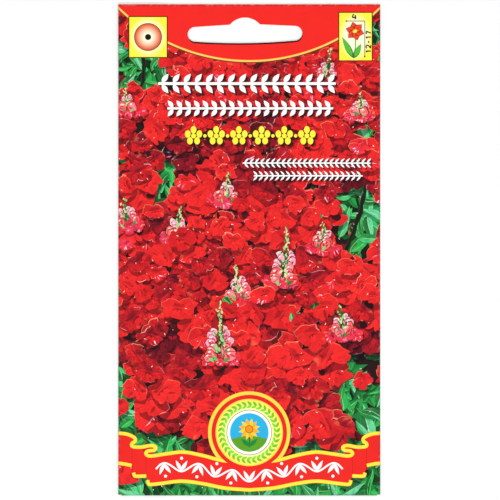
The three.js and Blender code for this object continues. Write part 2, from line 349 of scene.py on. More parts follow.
def oval(centre, half_length, half_width, angle=0.0, count=14):
    """An oval outline, whose length lies along the angle."""
    around = np.linspace(0, 2 * math.pi, count, endpoint=False)
    points = np.stack((half_length * np.cos(around), half_width * np.sin(around)), -1)
    return turned(points, angle) + centre


def box_outline(low, high):
    """An upright box between two corners."""
    return np.array(((low[0], low[1]), (high[0], low[1]), (high[0], high[1]), (low[0], high[1])), float)


def signed_area(outline):
    """Above 0 where the outline runs anticlockwise."""
    x, y = outline.T
    return np.sum(x * np.roll(y, -1) - y * np.roll(x, -1)) / 2


def flowing(points, steps=6):
    """A smooth line through all the points."""
    points = np.asarray(points, float)
    padded = np.vstack((2 * points[0] - points[1], points, 2 * points[-1] - points[-2]))
    line = []
    for a, b, c, d in zip(padded, padded[1:], padded[2:], padded[3:]):
        for t in np.linspace(0, 1, steps, endpoint=False):
            bend, twist = 2 * a - 5 * b + 4 * c - d, 3 * b - a - 3 * c + d
            line.append(0.5 * (2 * b + (c - a) * t + bend * t**2 + twist * t**3))
    return np.array(line + [points[-1]])


def directions(line):
    """The ways along a line and across it, at each of its points."""
    along = np.gradient(line, axis=0)
    along /= np.linalg.norm(along, axis=1)[:, None]
    return along, np.stack((-along[:, 1], along[:, 0]), -1)


def band(line, width):
    """The outline of a line of even width."""
    line = np.asarray(line, float)
    across = directions(line)[1] * width / 2
    return np.vstack((line + across, (line - across)[::-1]))


def leaf_outline(base, tip, half_width, count=6):
    """Pointed at both ends and widest a little below the middle."""
    base, tip = np.asarray(base, float), np.asarray(tip, float)
    along = tip - base
    across = left_of(along) / np.linalg.norm(along) * half_width
    shares = np.linspace(0, 1, count + 1)
    swell = np.sin(math.pi * shares**0.8)
    upper = base + shares[:, None] * along + swell[:, None] * across
    lower = base + shares[:, None] * along - swell[:, None] * across
    return np.vstack((upper, lower[-2:0:-1]))


class Artwork:
    """Flat shapes of ink on the blank, each one over those before it.

    A patch has its outline, its ink, how much petal-like relief the ink has, and the map from the blank
    to its own place, which is 0 in its middle and 1 at its tip and sides. A shade only darkens what is
    under it.
    """

    def __init__(self):
        self.outlines, self.inks, self.reliefs = [], [], []
        self.maps, self.seeds, self.shades = [], [], []

    def patch(
        self, outline, ink, relief=0.0, middle=(0, 0), tip=(0, 1), half_width=1.0, seed=0.5, shade=0.0
    ):
        """Lays a shape of ink over those before it."""
        outline = np.asarray(outline, float)
        if signed_area(outline) < 0:
            outline = outline[::-1]
        middle, along = np.asarray(middle, float), np.asarray(tip, float) - np.asarray(middle, float)
        length = np.linalg.norm(along)
        along = along / length
        rows = []
        for axis, reach in ((along, length), (left_of(along), half_width)):
            rows += [*(axis / reach), -middle @ axis / reach]
        self.outlines.append(outline)
        self.inks.append(linear(ink))
        self.reliefs.append(relief)
        self.maps.append(rows)
        self.seeds.append(seed)
        self.shades.append(shade)

    def shade(self, outline, darkness):
        """Darkens what lies under the outline."""
        self.patch(outline, (0, 0, 0), shade=darkness)


def linear(ink):
    """The ink as a shader takes it."""
    return tuple(Color(ink[:3]).from_srgb_to_scene_linear())


def mixed(first, second, share):
    """The first ink, with this share of it replaced by the second."""
    return tuple(a + (b - a) * share for a, b in zip(first, second))


def lit(ink, light):
    """The same ink, brighter or darker."""
    return tuple(min(1.0, c * light) for c in ink)


# ---- The flower picture ----


class FlowerPicture:
    """A bed of red flower spikes over dark ground and green leaves.

    Each spike has whorls of ruffled two-lipped blooms, and some have buds at the top.
    """

    # Where leaves show instead of blooms: middles and half sizes of the clearings.
    clearings = (
        ((-31.0, 55.0), (7.0, 7.0)),
        ((-39.6, 60.0), (3.4, 3.2)),
        ((39.6, 66.0), (2.4, 4.6)),
        ((-26.0, 21.0), (2.2, 8.0)),
        ((34.8, 10.5), (5.8, 10.5)),
        ((36.0, 38.0), (2.0, 4.0)),
        ((-40.0, -46.0), (3.8, 12.0)),
        ((31.0, -38.0), (2.4, 5.0)),
        ((29.4, -47.0), (3.2, 5.0)),
        ((39.0, -55.0), (5.5, 13.0)),
        ((-29.0, -60.0), (10.0, 4.0)),
        ((23.0, -62.0), (9.0, 3.5)),
        ((0.0, -78.0), (62.0, 10.0)),
    )

    # Where the bed is in shade: middles and half sizes.
    hollows = (((-4.0, 31.0), (18.0, 8.0)), ((-28.0, -22.0), (10.0, 9.0)), ((22.0, -42.0), (9.0, 7.0)))

    # Bud sprays: where their middles stand, and how much of each rises over the blooms.
    sprays = (
        ((24.0, 56.4), 0.8),
        ((-37.6, 46.4), 0.45),
        ((34.0, 45.0), 0.45),
        ((-6.8, 19.6), 0.55),
        ((-37.8, 12.0), 0.5),
        ((-21.4, 8.6), 0.6),
        ((22.6, 5.0), 0.45),
        ((10.9, -1.4), 1.08),
        ((-3.6, -9.4), 0.6),
        ((28.2, -21.0), 0.5),
        ((-8.9, -24.6), 1.05),
    )

    # Rows of spikes stand between these heights, and each row covers this width.
    rows_top, rows_bottom, row_width = 78.0, -74.0, 84.0

    undergrowth_count, glint_count = 760, 230

    # A lobe's edge: how far round the lobe and how far out from the mouth.
    lobe_edge = ((0.0, 0.72), (0.13, 0.93), (0.32, 1.0), (0.5, 0.94), (0.68, 1.0), (0.86, 0.93))

    def __init__(self, art, inks, sheet):
        self.art, self.inks, self.sheet = art, inks, sheet
        self.random = random.Random(inks.seed)
        noise.seed_set(inks.seed + 1)  # never 0, which would take the clock

    def draw(self):
        """Lays the ground, the clearings, then the spikes from the farthest to the nearest."""
        right, top, bottom = self.sheet.right, self.sheet.top, -self.sheet.top - 1
        self.art.patch(box_outline((-right, bottom), (right, top)), self.inks.ground)
        self.undergrowth()
        for centre, half_sizes in self.clearings:
            self.clearing_leaves(np.array(centre), np.array(half_sizes))
        waiting = list(self.sprays)
        for place, radius in self.spike_places():
            while waiting and waiting[0][0][1] - 5 * waiting[0][1] > place[1] + 0.8 * radius:
                middle, share = waiting.pop(0)
                self.bud_spray(np.array(middle), share)
            self.spike(place, radius)
            if self.random.random() < 0.25:
                self.peeping_leaf(place + 0.8 * radius * heading(self.any_angle()))
        self.glints()

    def size_at(self, v):
        """The picture looks over the bed, so what stands lower in it is nearer and larger."""
        return 1.0 + 0.45 * (60 - v) / 130

    def light_at(self, place):
        """Sun and shade over the bed, in broad patches. 1 is full sun."""
        broad = noise.noise(Vector((place[0] / 13, place[1] / 13, self.inks.seed)))
        fine = noise.noise(Vector((place[0] / 5, place[1] / 5, self.inks.seed + 9)))
        shade = 0
        for centre, half_sizes in self.hollows:
            shade += math.exp(-np.sum(((place - np.array(centre)) / half_sizes) ** 2))
        return 0.88 + 0.9 * broad + 0.65 * fine - 0.65 * shade

    def into_clearing(self, place, margin=0.0):
        """Below 1 inside a clearing, which the margin makes larger."""
        return min(
            np.hypot(*((place - np.array(centre)) / (np.array(half_sizes) + margin)))
            for centre, half_sizes in self.clearings
        )

    def any_angle(self):
        """A heading all round."""
        return self.random.uniform(0, 2 * math.pi)

    def vary(self, share):
        """A factor near 1."""
        return self.random.uniform(1 - share, 1 + share)

    def ragged(self, outline, size, roughness=0.10):
        """The outline bent this way and that, as petals grow, with a rough edge."""
        bent = []
        for point in outline:
            broad = noise.noise_vector(Vector((*(point / (1.1 * size)), self.inks.seed)))
            fine = noise.noise_vector(Vector((*(point / (0.35 * size)), self.inks.seed + 5)))
            bent.append(point + 0.42 * size * np.array(broad.xy) + roughness * size * np.array(fine.xy))
        return np.array(bent)

    def spike_places(self):
        """Staggered rows of spikes round the clearings, the farthest first."""
        places, v, row = [], self.rows_top, 0
        while v > self.rows_bottom:
            radius = 7.3 * self.size_at(v)
            pitch = 1.7 * radius
            count = math.ceil(self.row_width / pitch)
            for column in range(count + 1):
                u = (column - count / 2 + (row % 2) / 2 + self.random.uniform(-0.2, 0.2)) * pitch
                place = np.array((u, v + self.random.uniform(-0.3, 0.3) * radius))
                if self.into_clearing(place) > 1:
                    places.append((place, radius * self.vary(0.15)))
            v -= 1.15 * radius
            row += 1
        return sorted(places, key=lambda item: -item[0][1])

    def undergrowth(self):
        """Dark leaves and petals far down between the spikes, and a few leaves in the sun."""
        for _ in range(self.undergrowth_count):
            place = np.array((self.random.uniform(-41, 41), self.random.uniform(-76, 70)))
            scale = self.size_at(place[1])
            kind = self.random.random()
            if kind < 0.30:
                light = self.random.uniform(0.0, 0.45)
                self.leaf(place, self.any_angle(), 4.6 * scale, 0.8 * scale, light)
            elif kind < 0.40:
                light = self.random.uniform(0.7, 1.2)
                self.leaf(place, self.any_angle(), 3.4 * scale, 0.7 * scale, light)
            else:
                ink = mixed(self.inks.deep, self.inks.shaded, self.random.random() ** 2)
                self.lip(place, 2.2 * scale, self.any_angle(), 1.3, 2, ink, 1.0)

    def clearing_leaves(self, centre, half_sizes):
        """Sunlit leaves over darker ones, and a dark stalk in the wide clearings among the blooms."""
        scale = self.size_at(centre[1])
        shade = self.ragged(oval(centre, *half_sizes, 0, 40), 6.0)
        self.art.patch(shade, lit(self.inks.leaf_dark, 0.5), 1.0, centre, centre + (0, 4), 4.0)
        among_blooms = half_sizes.min() > 4.5 and half_sizes.max() < 12
        count = int(0.62 * half_sizes[0] * half_sizes[1]) + 8
        for k in range(count):
            reach = self.random.random() ** 0.5
            place = centre + half_sizes * (reach + 0.1) * heading(self.any_angle())
            higher = (1.2 - 0.25 * among_blooms) * (k / count) ** 0.8 * self.vary(0.35)
            light = 0.15 + 0.4 * among_blooms + higher
            if self.random.random() < 0.12:
                light *= 0.15
            length = min(6.5 * scale, 1.1 * half_sizes.max() + 2) * self.vary(0.3)
            self.leaf(place, self.random.gauss(UP, 0.9), length, 0.15 * length, light)
        if among_blooms:
            foot, lean = centre + (-1.2, 0), UP + self.random.uniform(-0.3, 0.3)
            shares = np.linspace(-1.1, 1.1, 12)
            stalk = [foot + t * half_sizes[1] * heading(lean + 0.1 * t) for t in shares]
            for width, ink in ((1.0, lit(self.inks.leaf_dark, 0.6)), (0.6, self.inks.ground)):
                self.art.patch(self.ragged(band(stalk, width * scale), 1.6), ink)

    def peeping_leaf(self, place):
        """A gap between blooms with a few sunlit leaf tips in it, and a bloom over their stalks."""
        scale, angle = self.size_at(place[1]), self.any_angle()
        gap = self.ragged(oval(place, 1.3 * scale, 0.6 * scale, angle, 12), 1.6)
        self.art.patch(gap, mixed(self.inks.ground, self.inks.leaf_dark, self.random.random()))
        for _ in range(self.random.randint(1, 3)):
            tip = place + self.random.uniform(0, 0.5) * scale * heading(self.any_angle())
            light = self.random.uniform(0.6, 1.35)
            turn, length = angle + self.random.gauss(0, 0.6), 2.9 * scale * self.vary(0.3)
            self.leaf(tip, turn, length, 0.7 * scale, light)
        over = place + 2.3 * scale * heading(angle + self.random.gauss(0, 0.4))
        radius, facing = 2.2 * scale * self.vary(0.2), self.random.gauss(-UP, 0.6)
        self.bloom(over, radius, facing, self.light_at(over), 0)

    def glints(self):
        """Tiny drops of light on the petals and leaves."""
        for _ in range(self.glint_count):
            place = np.array((self.random.uniform(-40, 40), self.random.uniform(-74, 62)))
            ink = mixed(self.inks.rim, (1, 1, 1), self.random.uniform(0.1, 0.9))
            length = self.random.uniform(0.12, 0.42)
            drop = oval(place, length, self.random.uniform(0.08, 0.14), self.any_angle(), 6)
            self.art.patch(drop, ink)

    def petal_ink(self, light, young=0.0):
        """A petal's ink, from shade at 0 to full light at 1, with a share of pink where it is young."""
        light = min(1.0, max(0.0, light))
        steps = (self.inks.deep, self.inks.shaded, self.inks.middle, self.inks.strong, self.inks.bright)
        at = light * (len(steps) - 1)
        first = min(int(at), len(steps) - 2)
        return mixed(mixed(steps[first], steps[first + 1], at - first), self.inks.blush, young)

    def spike(self, foot, radius):
        """One flower spike, with wide blooms low down and small ones in front of them at its top."""
        lean = self.random.uniform(-0.25, 0.25)
        for up, count in ((0.0, 3), (0.33, 3), (0.67, 2), (1.0, 1)):
            half_width = radius * (0.80 - 0.52 * up)
            middle = foot + 1.25 * radius * (up - 0.45) * heading(UP + lean)
            sides = [0.0] if count == 1 else [2 * k / (count - 1) - 1 for k in range(count)]
            self.random.shuffle(sides)
            for side in sides:
                side += self.random.uniform(-0.22, 0.22)
                drop = self.random.uniform(-0.08, 0.08) - 0.16 * side * side
                place = middle + (side * half_width, drop * radius)
                size = radius * (0.54 - 0.17 * up) * self.vary(0.16)
                if self.into_clearing(place, 0.45 * size) > 1:
                    light = self.light_at(place) + 0.22 * up - 0.08 + self.random.uniform(-0.25, 0.25)
                    facing = -UP + 0.95 * side + self.random.uniform(-0.35, 0.35)
                    is_young = up > 0.9 and self.random.random() < 0.12
                    light = max(light, 0.8) if is_young else light
                    self.bloom(place, size, facing, light, self.random.uniform(0.1, 0.35) * is_young)

    def lip(self, centre, radius, facing, spread, lobes, ink, relief, rim=None):
        """One lip of a bloom: a fan of round lobes with notches between them and an uneven edge."""
        points = [centre - 0.22 * radius * heading(facing)]
        widths = np.array([self.vary(0.3) for _ in range(lobes)])
        ends = np.concatenate(([0], np.cumsum(widths / widths.sum())))
        for lobe in range(lobes):
            reach = radius * self.vary(0.13)
            for share, bulge in self.lobe_edge:
                turn = ends[lobe] + share * (ends[lobe + 1] - ends[lobe])
                angle = facing + spread * (2 * turn - 1)
                points.append(centre + reach * bulge * self.vary(0.05) * heading(angle))
        outline = centre + (self.ragged(points, radius) - centre) * (1.12, 0.9)
        if rim:
            out = outline[1:] - centre
            out /= np.linalg.norm(out, axis=1)[:, None]
            upward = np.clip(out @ (-0.3, 0.95) + 0.2, 0, 1)[:, None]
            self.art.patch(np.vstack((outline[:1], outline[1:] + 0.19 * upward * out)), rim)
        tip = centre + radius * heading(facing)
        self.art.patch(outline, ink, relief, centre, tip, radius, self.random.random())
        return outline

    def edge_light(self, outline, centre, ink):
        """A thin light along a short stretch of a petal's edge."""
        start = self.random.randrange(1, len(outline) - 4)
        stretch = outline[start : start + self.random.randint(2, 4)]
        inward = centre + 0.95 * (stretch - centre)
        light = mixed(ink, self.inks.bud_pale, self.random.uniform(0.4, 0.9))
        self.art.patch(band(inward, self.random.uniform(0.09, 0.17)), light)

    def bloom(self, centre, radius, facing, light, young):
        """An upper lip of two lobes behind a lower lip of three, with the closed mouth between them."""
        if self.random.random() < 0.3:
            beside = centre + 0.95 * radius * heading(self.any_angle())
            gap = self.ragged(oval(beside, 0.38 * radius, 0.26 * radius, self.any_angle(), 9), radius)
            self.art.patch(gap, mixed(self.inks.ground, self.inks.deep, self.random.random()))
        below = centre + radius * np.array((0.10, -0.30))
        self.art.shade(self.ragged(oval(below, 1.04 * radius, 0.98 * radius, 0, 16), radius), 0.58)
        relief = 0.5 if light > 0.7 else 1.0
        beside_leaves = self.into_clearing(centre, radius) < 1.25
        for back, spread, lobes, extra in ((math.pi, 1.75, 2, -0.12), (0, 1.95, 3, 0.08)):
            ink = self.petal_ink(light + extra + self.random.uniform(-0.08, 0.08), young)
            rim = None
            if beside_leaves or self.random.random() < 0.2:
                rim = mixed(ink, self.inks.rim, self.random.uniform(0.2, 0.9))
            outline = self.lip(centre, radius, facing + back, spread, lobes, ink, relief, rim)
            if self.random.random() < 0.45:
                self.edge_light(outline, centre, ink)
            if back:
                over = centre + 0.1 * radius * heading(facing)
                self.art.shade(self.ragged(oval(over, 0.66 * radius, 0.60 * radius, 0, 12), radius), 0.32)
        self.folds(centre, radius, facing)
        across = heading(facing + UP)
        corner = 0.42 * radius * across
        mouth = leaf_outline(centre - corner, centre + corner, 0.09 * radius, 4)
        self.art.shade(self.ragged(mouth, radius), 0.5)
        for side in (-1, 1):
            bump = centre + 0.16 * radius * heading(facing) + 0.15 * side * radius * across
            ink = self.petal_ink(light + 0.12, young)
            self.art.patch(self.ragged(oval(bump, 0.19 * radius, 0.14 * radius, facing, 8), radius), ink)
        if young:
            self.flush(centre, radius)
        if young or self.random.random() < 0.15:
            self.streaks(centre, radius, facing)

    def flush(self, centre, radius):
        """Uneven pinks and reds on a young bloom."""
        for _ in range(7):
            place = centre + self.random.uniform(0.15, 0.85) * radius * heading(self.any_angle())
            ink = self.petal_ink(self.random.uniform(0.5, 1.0), self.random.uniform(0.0, 0.7))
            length = self.random.uniform(0.2, 0.42) * radius
            spot = oval(place, length, 0.14 * radius, self.any_angle(), 8)
            self.art.patch(self.ragged(spot, radius), ink)

    def streaks(self, centre, radius, facing):
        """White and pink veins on a young bloom."""
        for _ in range(self.random.randint(3, 6)):
            way = heading(facing + self.random.uniform(-1.2, 1.2))
            start = centre + radius * self.random.uniform(0.25, 0.5) * way
            end = centre + radius * self.random.uniform(0.6, 0.9) * way
            vein = leaf_outline(start, end, self.random.uniform(0.08, 0.2), 3)
            ink = mixed(self.inks.blush, (1, 1, 1), self.random.uniform(0, 0.8))
            self.art.patch(self.ragged(vein, radius), ink)

    def folds(self, centre, radius, facing):
        """Dark creases that run from the mouth into the lobes."""
        for angle in (0.45, -0.5, 2.5, -2.6):
            if self.random.random() < 0.6:
                way = heading(facing + angle + self.random.uniform(-0.3, 0.3))
                inner = centre + self.random.uniform(0.2, 0.4) * radius * way
                outer = centre + self.random.uniform(0.65, 1.0) * radius * way
                crease = leaf_outline(inner, outer, self.random.uniform(0.04, 0.11) * radius, 3)
                self.art.shade(self.ragged(crease, radius), self.random.uniform(0.25, 0.55))

    def leaf(self, middle, angle, length, half_width, light):
        """A lance-shaped leaf with a light and a dark half. Above 1, the light turns to sheen."""
        along = heading(angle) * length / 2
        base, tip = middle - along, middle + along
        matt = mixed(self.inks.leaf_dark, self.inks.leaf, min(1, light))
        shine = min(1, max(0, 2.5 * (light - 1)))
        seed = self.random.random()
        outline = self.ragged(leaf_outline(base, tip, half_width, 8), 0.6 * length, 0.02)
        half = len(outline) // 2 + 1
        self.art.shade(outline + (0.15, -0.45), 0.35)
        lighter = mixed(matt, self.inks.leaf_light, shine)
        self.art.patch(outline, lighter, 0.6, middle, tip, half_width, seed)
        darker = lit(mixed(matt, self.inks.leaf_light, 0.3 * shine), self.random.choice((0.6, 0.8)))
        self.art.patch(outline[:half], darker, 0.6, middle, tip, half_width, seed)
        if light > 0.8:
            rib = self.ragged(leaf_outline(base, tip, 0.09, 8), 0.6 * length, 0.02)
            self.art.patch(rib, mixed(lighter, self.inks.bud, 0.45))

    def bud_spray(self, middle, share):
        """The top of a spike: a tapering column of tiny green buds, over pink ones and young blooms."""
        inks, scale, lean = self.inks, self.size_at(middle[1]), self.random.uniform(-0.15, 0.15)
        height = 10.8 * scale * share
        way, across = heading(UP + lean), heading(lean)
        foot = middle - 0.45 * height * way
        shadow = oval(foot + 0.2 * height * way, 0.66 * height, 2.4 * scale, UP + lean, 16)
        self.art.shade(self.ragged(shadow, 2.5 * scale), 0.5)
        stalk = leaf_outline(foot - 0.4 * height * way, foot + 0.75 * height * way, 0.45 * scale)
        self.art.patch(self.ragged(stalk, 1.5), mixed(inks.leaf_dark, inks.ground, 0.4))
        for side in (-1.0, 1.0, 0.0):
            place = foot + scale * (2.7 * side * across - 1.8 * way) + (self.random.gauss(0, 0.4), 0)
            facing = -UP + 0.8 * side
            self.bloom(place, 2.1 * scale * self.vary(0.2), facing, 0.9, self.random.uniform(0.05, 0.5))
        count = 4 + round(11 * share)
        for k in range(count):
            up = 0.60 * (1 - k / (count - 1)) ** 1.1 - 0.12
            reach = self.random.uniform(0.35, 1.0) * (-1 if k % 2 else 1)
            side = reach * (3.0 - 2.3 * up) * scale * share**0.4
            size = scale * self.vary(0.25) * (1.22 - 0.75 * max(0, up))
            self.bud(foot + up * height * way + side * across, size, UP + lean - 0.25 * side, up)
        pale_tones = (inks.bud, mixed(inks.bud, inks.leaf, 0.4))
        tones = (*pale_tones, *pale_tones, mixed(inks.bud, inks.leaf_dark, 0.75), inks.leaf_dark)
        flecks = round(44 * share)
        for k in range(flecks):
            up = 1.05 * (k + 0.5) / flecks
            offset = self.random.gauss(0, 0.22 + 0.45 * (1 - up)) * scale
            place = foot + up * height * way + offset * across
            size = (0.54 - 0.19 * up) * scale * self.vary(0.35)
            fleck = oval(place, size, 0.5 * size, UP + lean + self.random.gauss(0, 0.6), 6)
            self.art.patch(fleck, self.random.choice(tones))

    def bud(self, place, size, angle, paleness):
        """A closed bud: folded petals, white to pink on the light side, with shade behind it."""
        inks = self.inks
        behind = self.random.choice((lit(inks.leaf_dark, 0.6), inks.deep, inks.shaded))
        self.art.patch(self.ragged(oval(place, 1.12 * size, 0.94 * size, angle, 9), size), behind)
        strong = inks.bright if paleness < 0.15 else inks.blush
        pink = mixed(strong, inks.bud_pale, self.random.uniform(0.15, 0.5))
        whole = mixed(pink, inks.bud_pale, min(1, max(0, self.random.uniform(0.0, 0.35) + paleness)))
        self.art.patch(self.ragged(oval(place, size, 0.84 * size, angle, 9), size), whole)
        for fold in range(3):
            turn = angle + UP + 2.1 * fold + self.random.uniform(-0.6, 0.6)
            start, end = place + 0.75 * size * heading(turn), place + 0.6 * size * heading(turn + 2.2)
            red = mixed(inks.middle, inks.blush, self.random.uniform(0.0, 0.8))
            ink = self.random.choice((red, red, mixed(red, inks.bud_pale, 0.6)))
            self.art.patch(self.ragged(leaf_outline(start, end, 0.18 * size, 4), size), ink)
        base, tip = place - 1.35 * size * heading(angle), place - 0.1 * size * heading(angle + 0.4)
        leaf_ink = self.random.choice((inks.leaf, inks.leaf_dark))
        green = mixed(leaf_ink, inks.bud, self.random.uniform(0.1, 0.5))
        self.art.patch(self.ragged(leaf_outline(base, tip, 0.3 * size, 4), size), green)
        light = oval(place + size * np.array((-0.25, 0.5)), 0.28 * size, 0.16 * size, 0.4, 6)
        self.art.patch(light, (1, 0.93, 0.91))


# ---- The panels over the picture ----


class PanelPrint:
    """The header, badges, ornament rows and ribbon on the front, and the print on the back."""

    def __init__(self, art, inks, sheet, slot):
        self.art, self.inks, self.sheet, self.slot = art, inks, sheet, slot

    def draw(self):
        """Lays each panel over those that it covers."""
        self.header()
        self.sun_badge()
        self.height_badge()
        self.ornament_rows()
        self.badge_rim()
        self.ribbon()
        self.round_badge()
        self.sides_and_back()

    # The header is bounded below by a great arc, which meets the packet's top corners.
    arc_radius = 57.2
    arc_low = 57.75
    arc_half_angle = 0.83

    def arc(self, radius, count=61):
        """A line along the header's lower edge, at this distance from the arc's middle."""
        centre = (0, self.arc_low + self.arc_radius)
        angles = np.linspace(-UP - self.arc_half_angle, -UP + self.arc_half_angle, count)
        return np.array([centre + radius * heading(a) for a in angles])

    def header(self):
        """The red header over a golden line, with a painted shadow along the punched slot's lower edge.
        """
        top = self.sheet.top + 5
        arc = self.arc(self.arc_radius)
        self.art.patch(np.vstack((arc, [(arc[-1][0], top), (arc[0][0], top)])), self.inks.red)
        rim = mixed(self.inks.gold, self.inks.red, 0.5)
        pale = mixed(self.inks.gold, self.inks.cream, 0.25)
        dark = mixed(self.inks.line, self.inks.gold, 0.2)
        lines = ((0, 0.7, dark), (-0.3, 0.4, rim), (-0.18, 0.34, self.inks.gold), (0, 0.18, pale))
        for high, low, ink in lines:
            outline = np.vstack((self.arc(self.arc_radius + low), self.arc(self.arc_radius + high)[::-1]))
            self.art.patch(outline, ink)
        # Painted shadow: a dark copy of the slot moved down, under a red copy moved up, leaves a dark
        # line below the slot.
        for offset, ink in (((0.12, -0.48), self.inks.shadow), ((0, 0.25), self.inks.red)):
            self.art.patch(self.slot + np.array(offset), ink)

    def framed_box(self, low, high, corner_ink, centre_ink):
        """A box with a fine dark outline, whose ink turns paler towards its middle."""
        low, high = np.array(low, float), np.array(high, float)
        self.art.patch(box_outline(low - 0.3, high + 0.3), self.inks.line)
        self.art.patch(box_outline(low, high), corner_ink)
        middle, half = (low + high) / 2, (high - low) / 2
        for share in np.linspace(1.07, 0.6, 12):
            ink = mixed(centre_ink, corner_ink, ((share - 0.6) / 0.47) ** 1.4)
            outline = oval(middle, half[0] * share, half[1] * share, 0, 36)
            self.art.patch(np.clip(outline, low, high), ink)

    def sun_badge(self):
        """A disc with a dot, the sign for a place in full sun."""
        self.framed_box((-36.6, 58.9), (-25.2, 71.1), self.inks.lemon, self.inks.cream)
        centre = np.array((-30.9, 65.0))
        self.art.patch(circle(centre, 4.25, 32), self.inks.line)
        rim, dot = (0.89, 0.37, 0.22), (0.07, 0.06, 0.06)
        for share in np.linspace(1, 0.3, 9):
            ink = mixed(self.inks.cream, rim, ((share - 0.3) / 0.7) ** 1.5)
            self.art.patch(circle(centre, 4.05 * share, 30), ink)
        self.art.patch(circle(centre, 0.93, 16), dot)

    def height_badge(self):
        """A flower beside two scales, the sign for how large the plants grow."""
        self.framed_box((27.5, 57.9), (37.4, 72.4), self.inks.lemon, self.inks.cream)
        self.small_flower(np.array((32.3, 66.8)), np.array((31.9, 58.5)))
        dark = (0.16, 0.12, 0.08)
        corner = np.array((35.3, 69.9))
        for end in ((35.3, 59.0), (29.6, 69.9)):
            way = np.array(end) - corner
            way /= np.linalg.norm(way)
            self.art.patch(band((corner, end), 0.21), dark)
            foot, half_width = end - 0.25 * way, 0.3 * left_of(way)
            self.art.patch([end + 0.4 * way, foot + half_width, foot - half_width], dark)
        self.digits("4", (31.5, 70.4), 1.65, 0, dark)
        self.digits("12-17", (37.15, 60.2), 1.5, UP, dark)

    def small_flower(self, head, foot):
        """Six dark-edged petals on a stem with two broad leaves."""
        green = mixed(self.inks.grass, self.inks.stem, 0.4)
        self.art.patch(band(flowing([foot, (foot + head) / 2 + (0.35, 0), head]), 0.3), green)
        for tip in (foot + (-3.6, 6.6), foot + (2.3, 4.5)):
            middle = foot + 0.55 * (tip - foot) + (0, -0.3)
            for share, ink in ((1.0, lit(green, 0.68)), (0.8, lit(green, 1.12))):
                self.art.patch(leaf_outline(foot + (1 - share) * (middle - foot), tip, 0.92 * share), ink)
        edge, petal, rib = lit(self.inks.line, 1.5), (0.95, 0.27, 0.14), (0.72, 0.13, 0.08)
        layers = ((-0.2, 2.95, 1.2, edge), (0, 2.75, 0.98, petal), (0, 1.9, 0.16, rib))
        for k in range(6):
            way = heading(UP + 0.25 + math.pi * k / 3)
            for near, far, half_width, ink in layers:
                self.art.patch(leaf_outline(head + near * way, head + far * way, half_width), ink)
        self.art.patch(oval(head, 0.75, 0.5, 0.4, 12), self.inks.yellow)

    def digits(self, text, place, height, angle, ink):
        """Plain numbers and dashes, drawn as strokes on a grid 0.6 wide and 1 high."""
        hook = [(0.3 + 0.3 * math.cos(a), 0.7 + 0.3 * math.sin(a)) for a in np.linspace(2.9, -0.7, 9)]
        strokes = {
            "1": (((0.1, 0.75), (0.35, 1.0)), ((0.35, 1.0), (0.35, 0.0))),
            "2": ((*hook, (0.0, 0.06)), ((0.0, 0.06), (0.62, 0.06))),
            "4": (((0.2, 1.0), (0.0, 0.35)), ((0.0, 0.35), (0.74, 0.35)), ((0.54, 0.8), (0.54, 0.0))),
            "7": (((0.0, 0.93), (0.6, 0.93)), ((0.6, 0.96), (0.22, 0.0))),
            "-": (((0.1, 0.45), (0.5, 0.45)),),
        }
        for k, digit in enumerate(text):
            for line in strokes[digit]:
                points = (np.array(line) + (0.95 * k, 0)) * height
                self.art.patch(turned(band(points, 0.25 * height), angle) + place, ink)

    def shadowed(self, outlines, ink, reach):
        """Shapes with a dark drop shadow, down and to the right."""
        away = np.array((0.9, -1.0)) * reach
        for outline in outlines:
            self.art.shade(outline + 1.8 * away, 0.65)
        for outline in outlines:
            self.art.patch(outline + away, self.inks.shadow)
        for outline in outlines:
            self.art.patch(outline, ink)

    def leaf_row(self, start, end, height, ink, slant, half_width):
        """A garland of leaves along a line, in pairs that lean the same way."""
        start, end = np.array(start, float), np.array(end, float)
        length = np.linalg.norm(end - start)
        along = (end - start) / length
        count = int(length / (0.54 * height))
        outlines = [band([start + along * length * t for t in np.linspace(0, 1, 60)], 0.14 * height)]
        for k in range(count):
            foot = start + along * length * ((k + 0.25) / count)
            for side in (-1, 1):
                way = along * math.cos(slant) + left_of(along) * side * math.sin(slant)
                tip = foot + way * (0.5 * height / math.sin(slant))
                outlines.append(leaf_outline(foot + way * 0.08 * height, tip, half_width))
        self.shadowed(outlines, ink, 0.30 + 0.03 * height)

    def rosette_row(self, start, end, height, ink):
        """Five-petalled flowers with dots between them."""
        start, end = np.array(start, float), np.array(end, float)
        count = round(np.linalg.norm(end - start) / (1.28 * height)) + 1
        outlines = []
        for place in np.linspace(start, end, count):
            for k in range(5):
                way = heading(UP + 2 * math.pi * k / 5)
                outlines.append(oval(place + 0.31 * height * way, 0.19 * height, 0.15 * height, UP, 12))
            outlines.append(circle(place, 0.13 * height, 10))
        for place in np.linspace(start, end, count)[:-1]:
            outlines.append(circle(place + (end - start) / (count - 1) / 2, 0.09 * height, 10))
        self.shadowed(outlines, ink, 0.30 + 0.03 * height)

    def ornament_rows(self):
        """Garlands and rosettes over the picture."""
        white = self.inks.white
        self.leaf_row((-27.8, 50.8), (26.4, 50.8), 6.0, white, 0.92, 0.78)
        self.leaf_row((25.6, 43.2), (-25.0, 43.2), 4.9, white, 0.92, 0.68)
        self.rosette_row((-17.0, 34.8), (17.6, 34.8), 6.0, self.inks.lemon)
        self.leaf_row((-2.0, 26.5), (37.0, 26.5), 3.0, white, 0.8, 0.29)
        self.leaf_row((34.6, 22.6), (1.4, 22.6), 3.0, white, 0.8, 0.29)

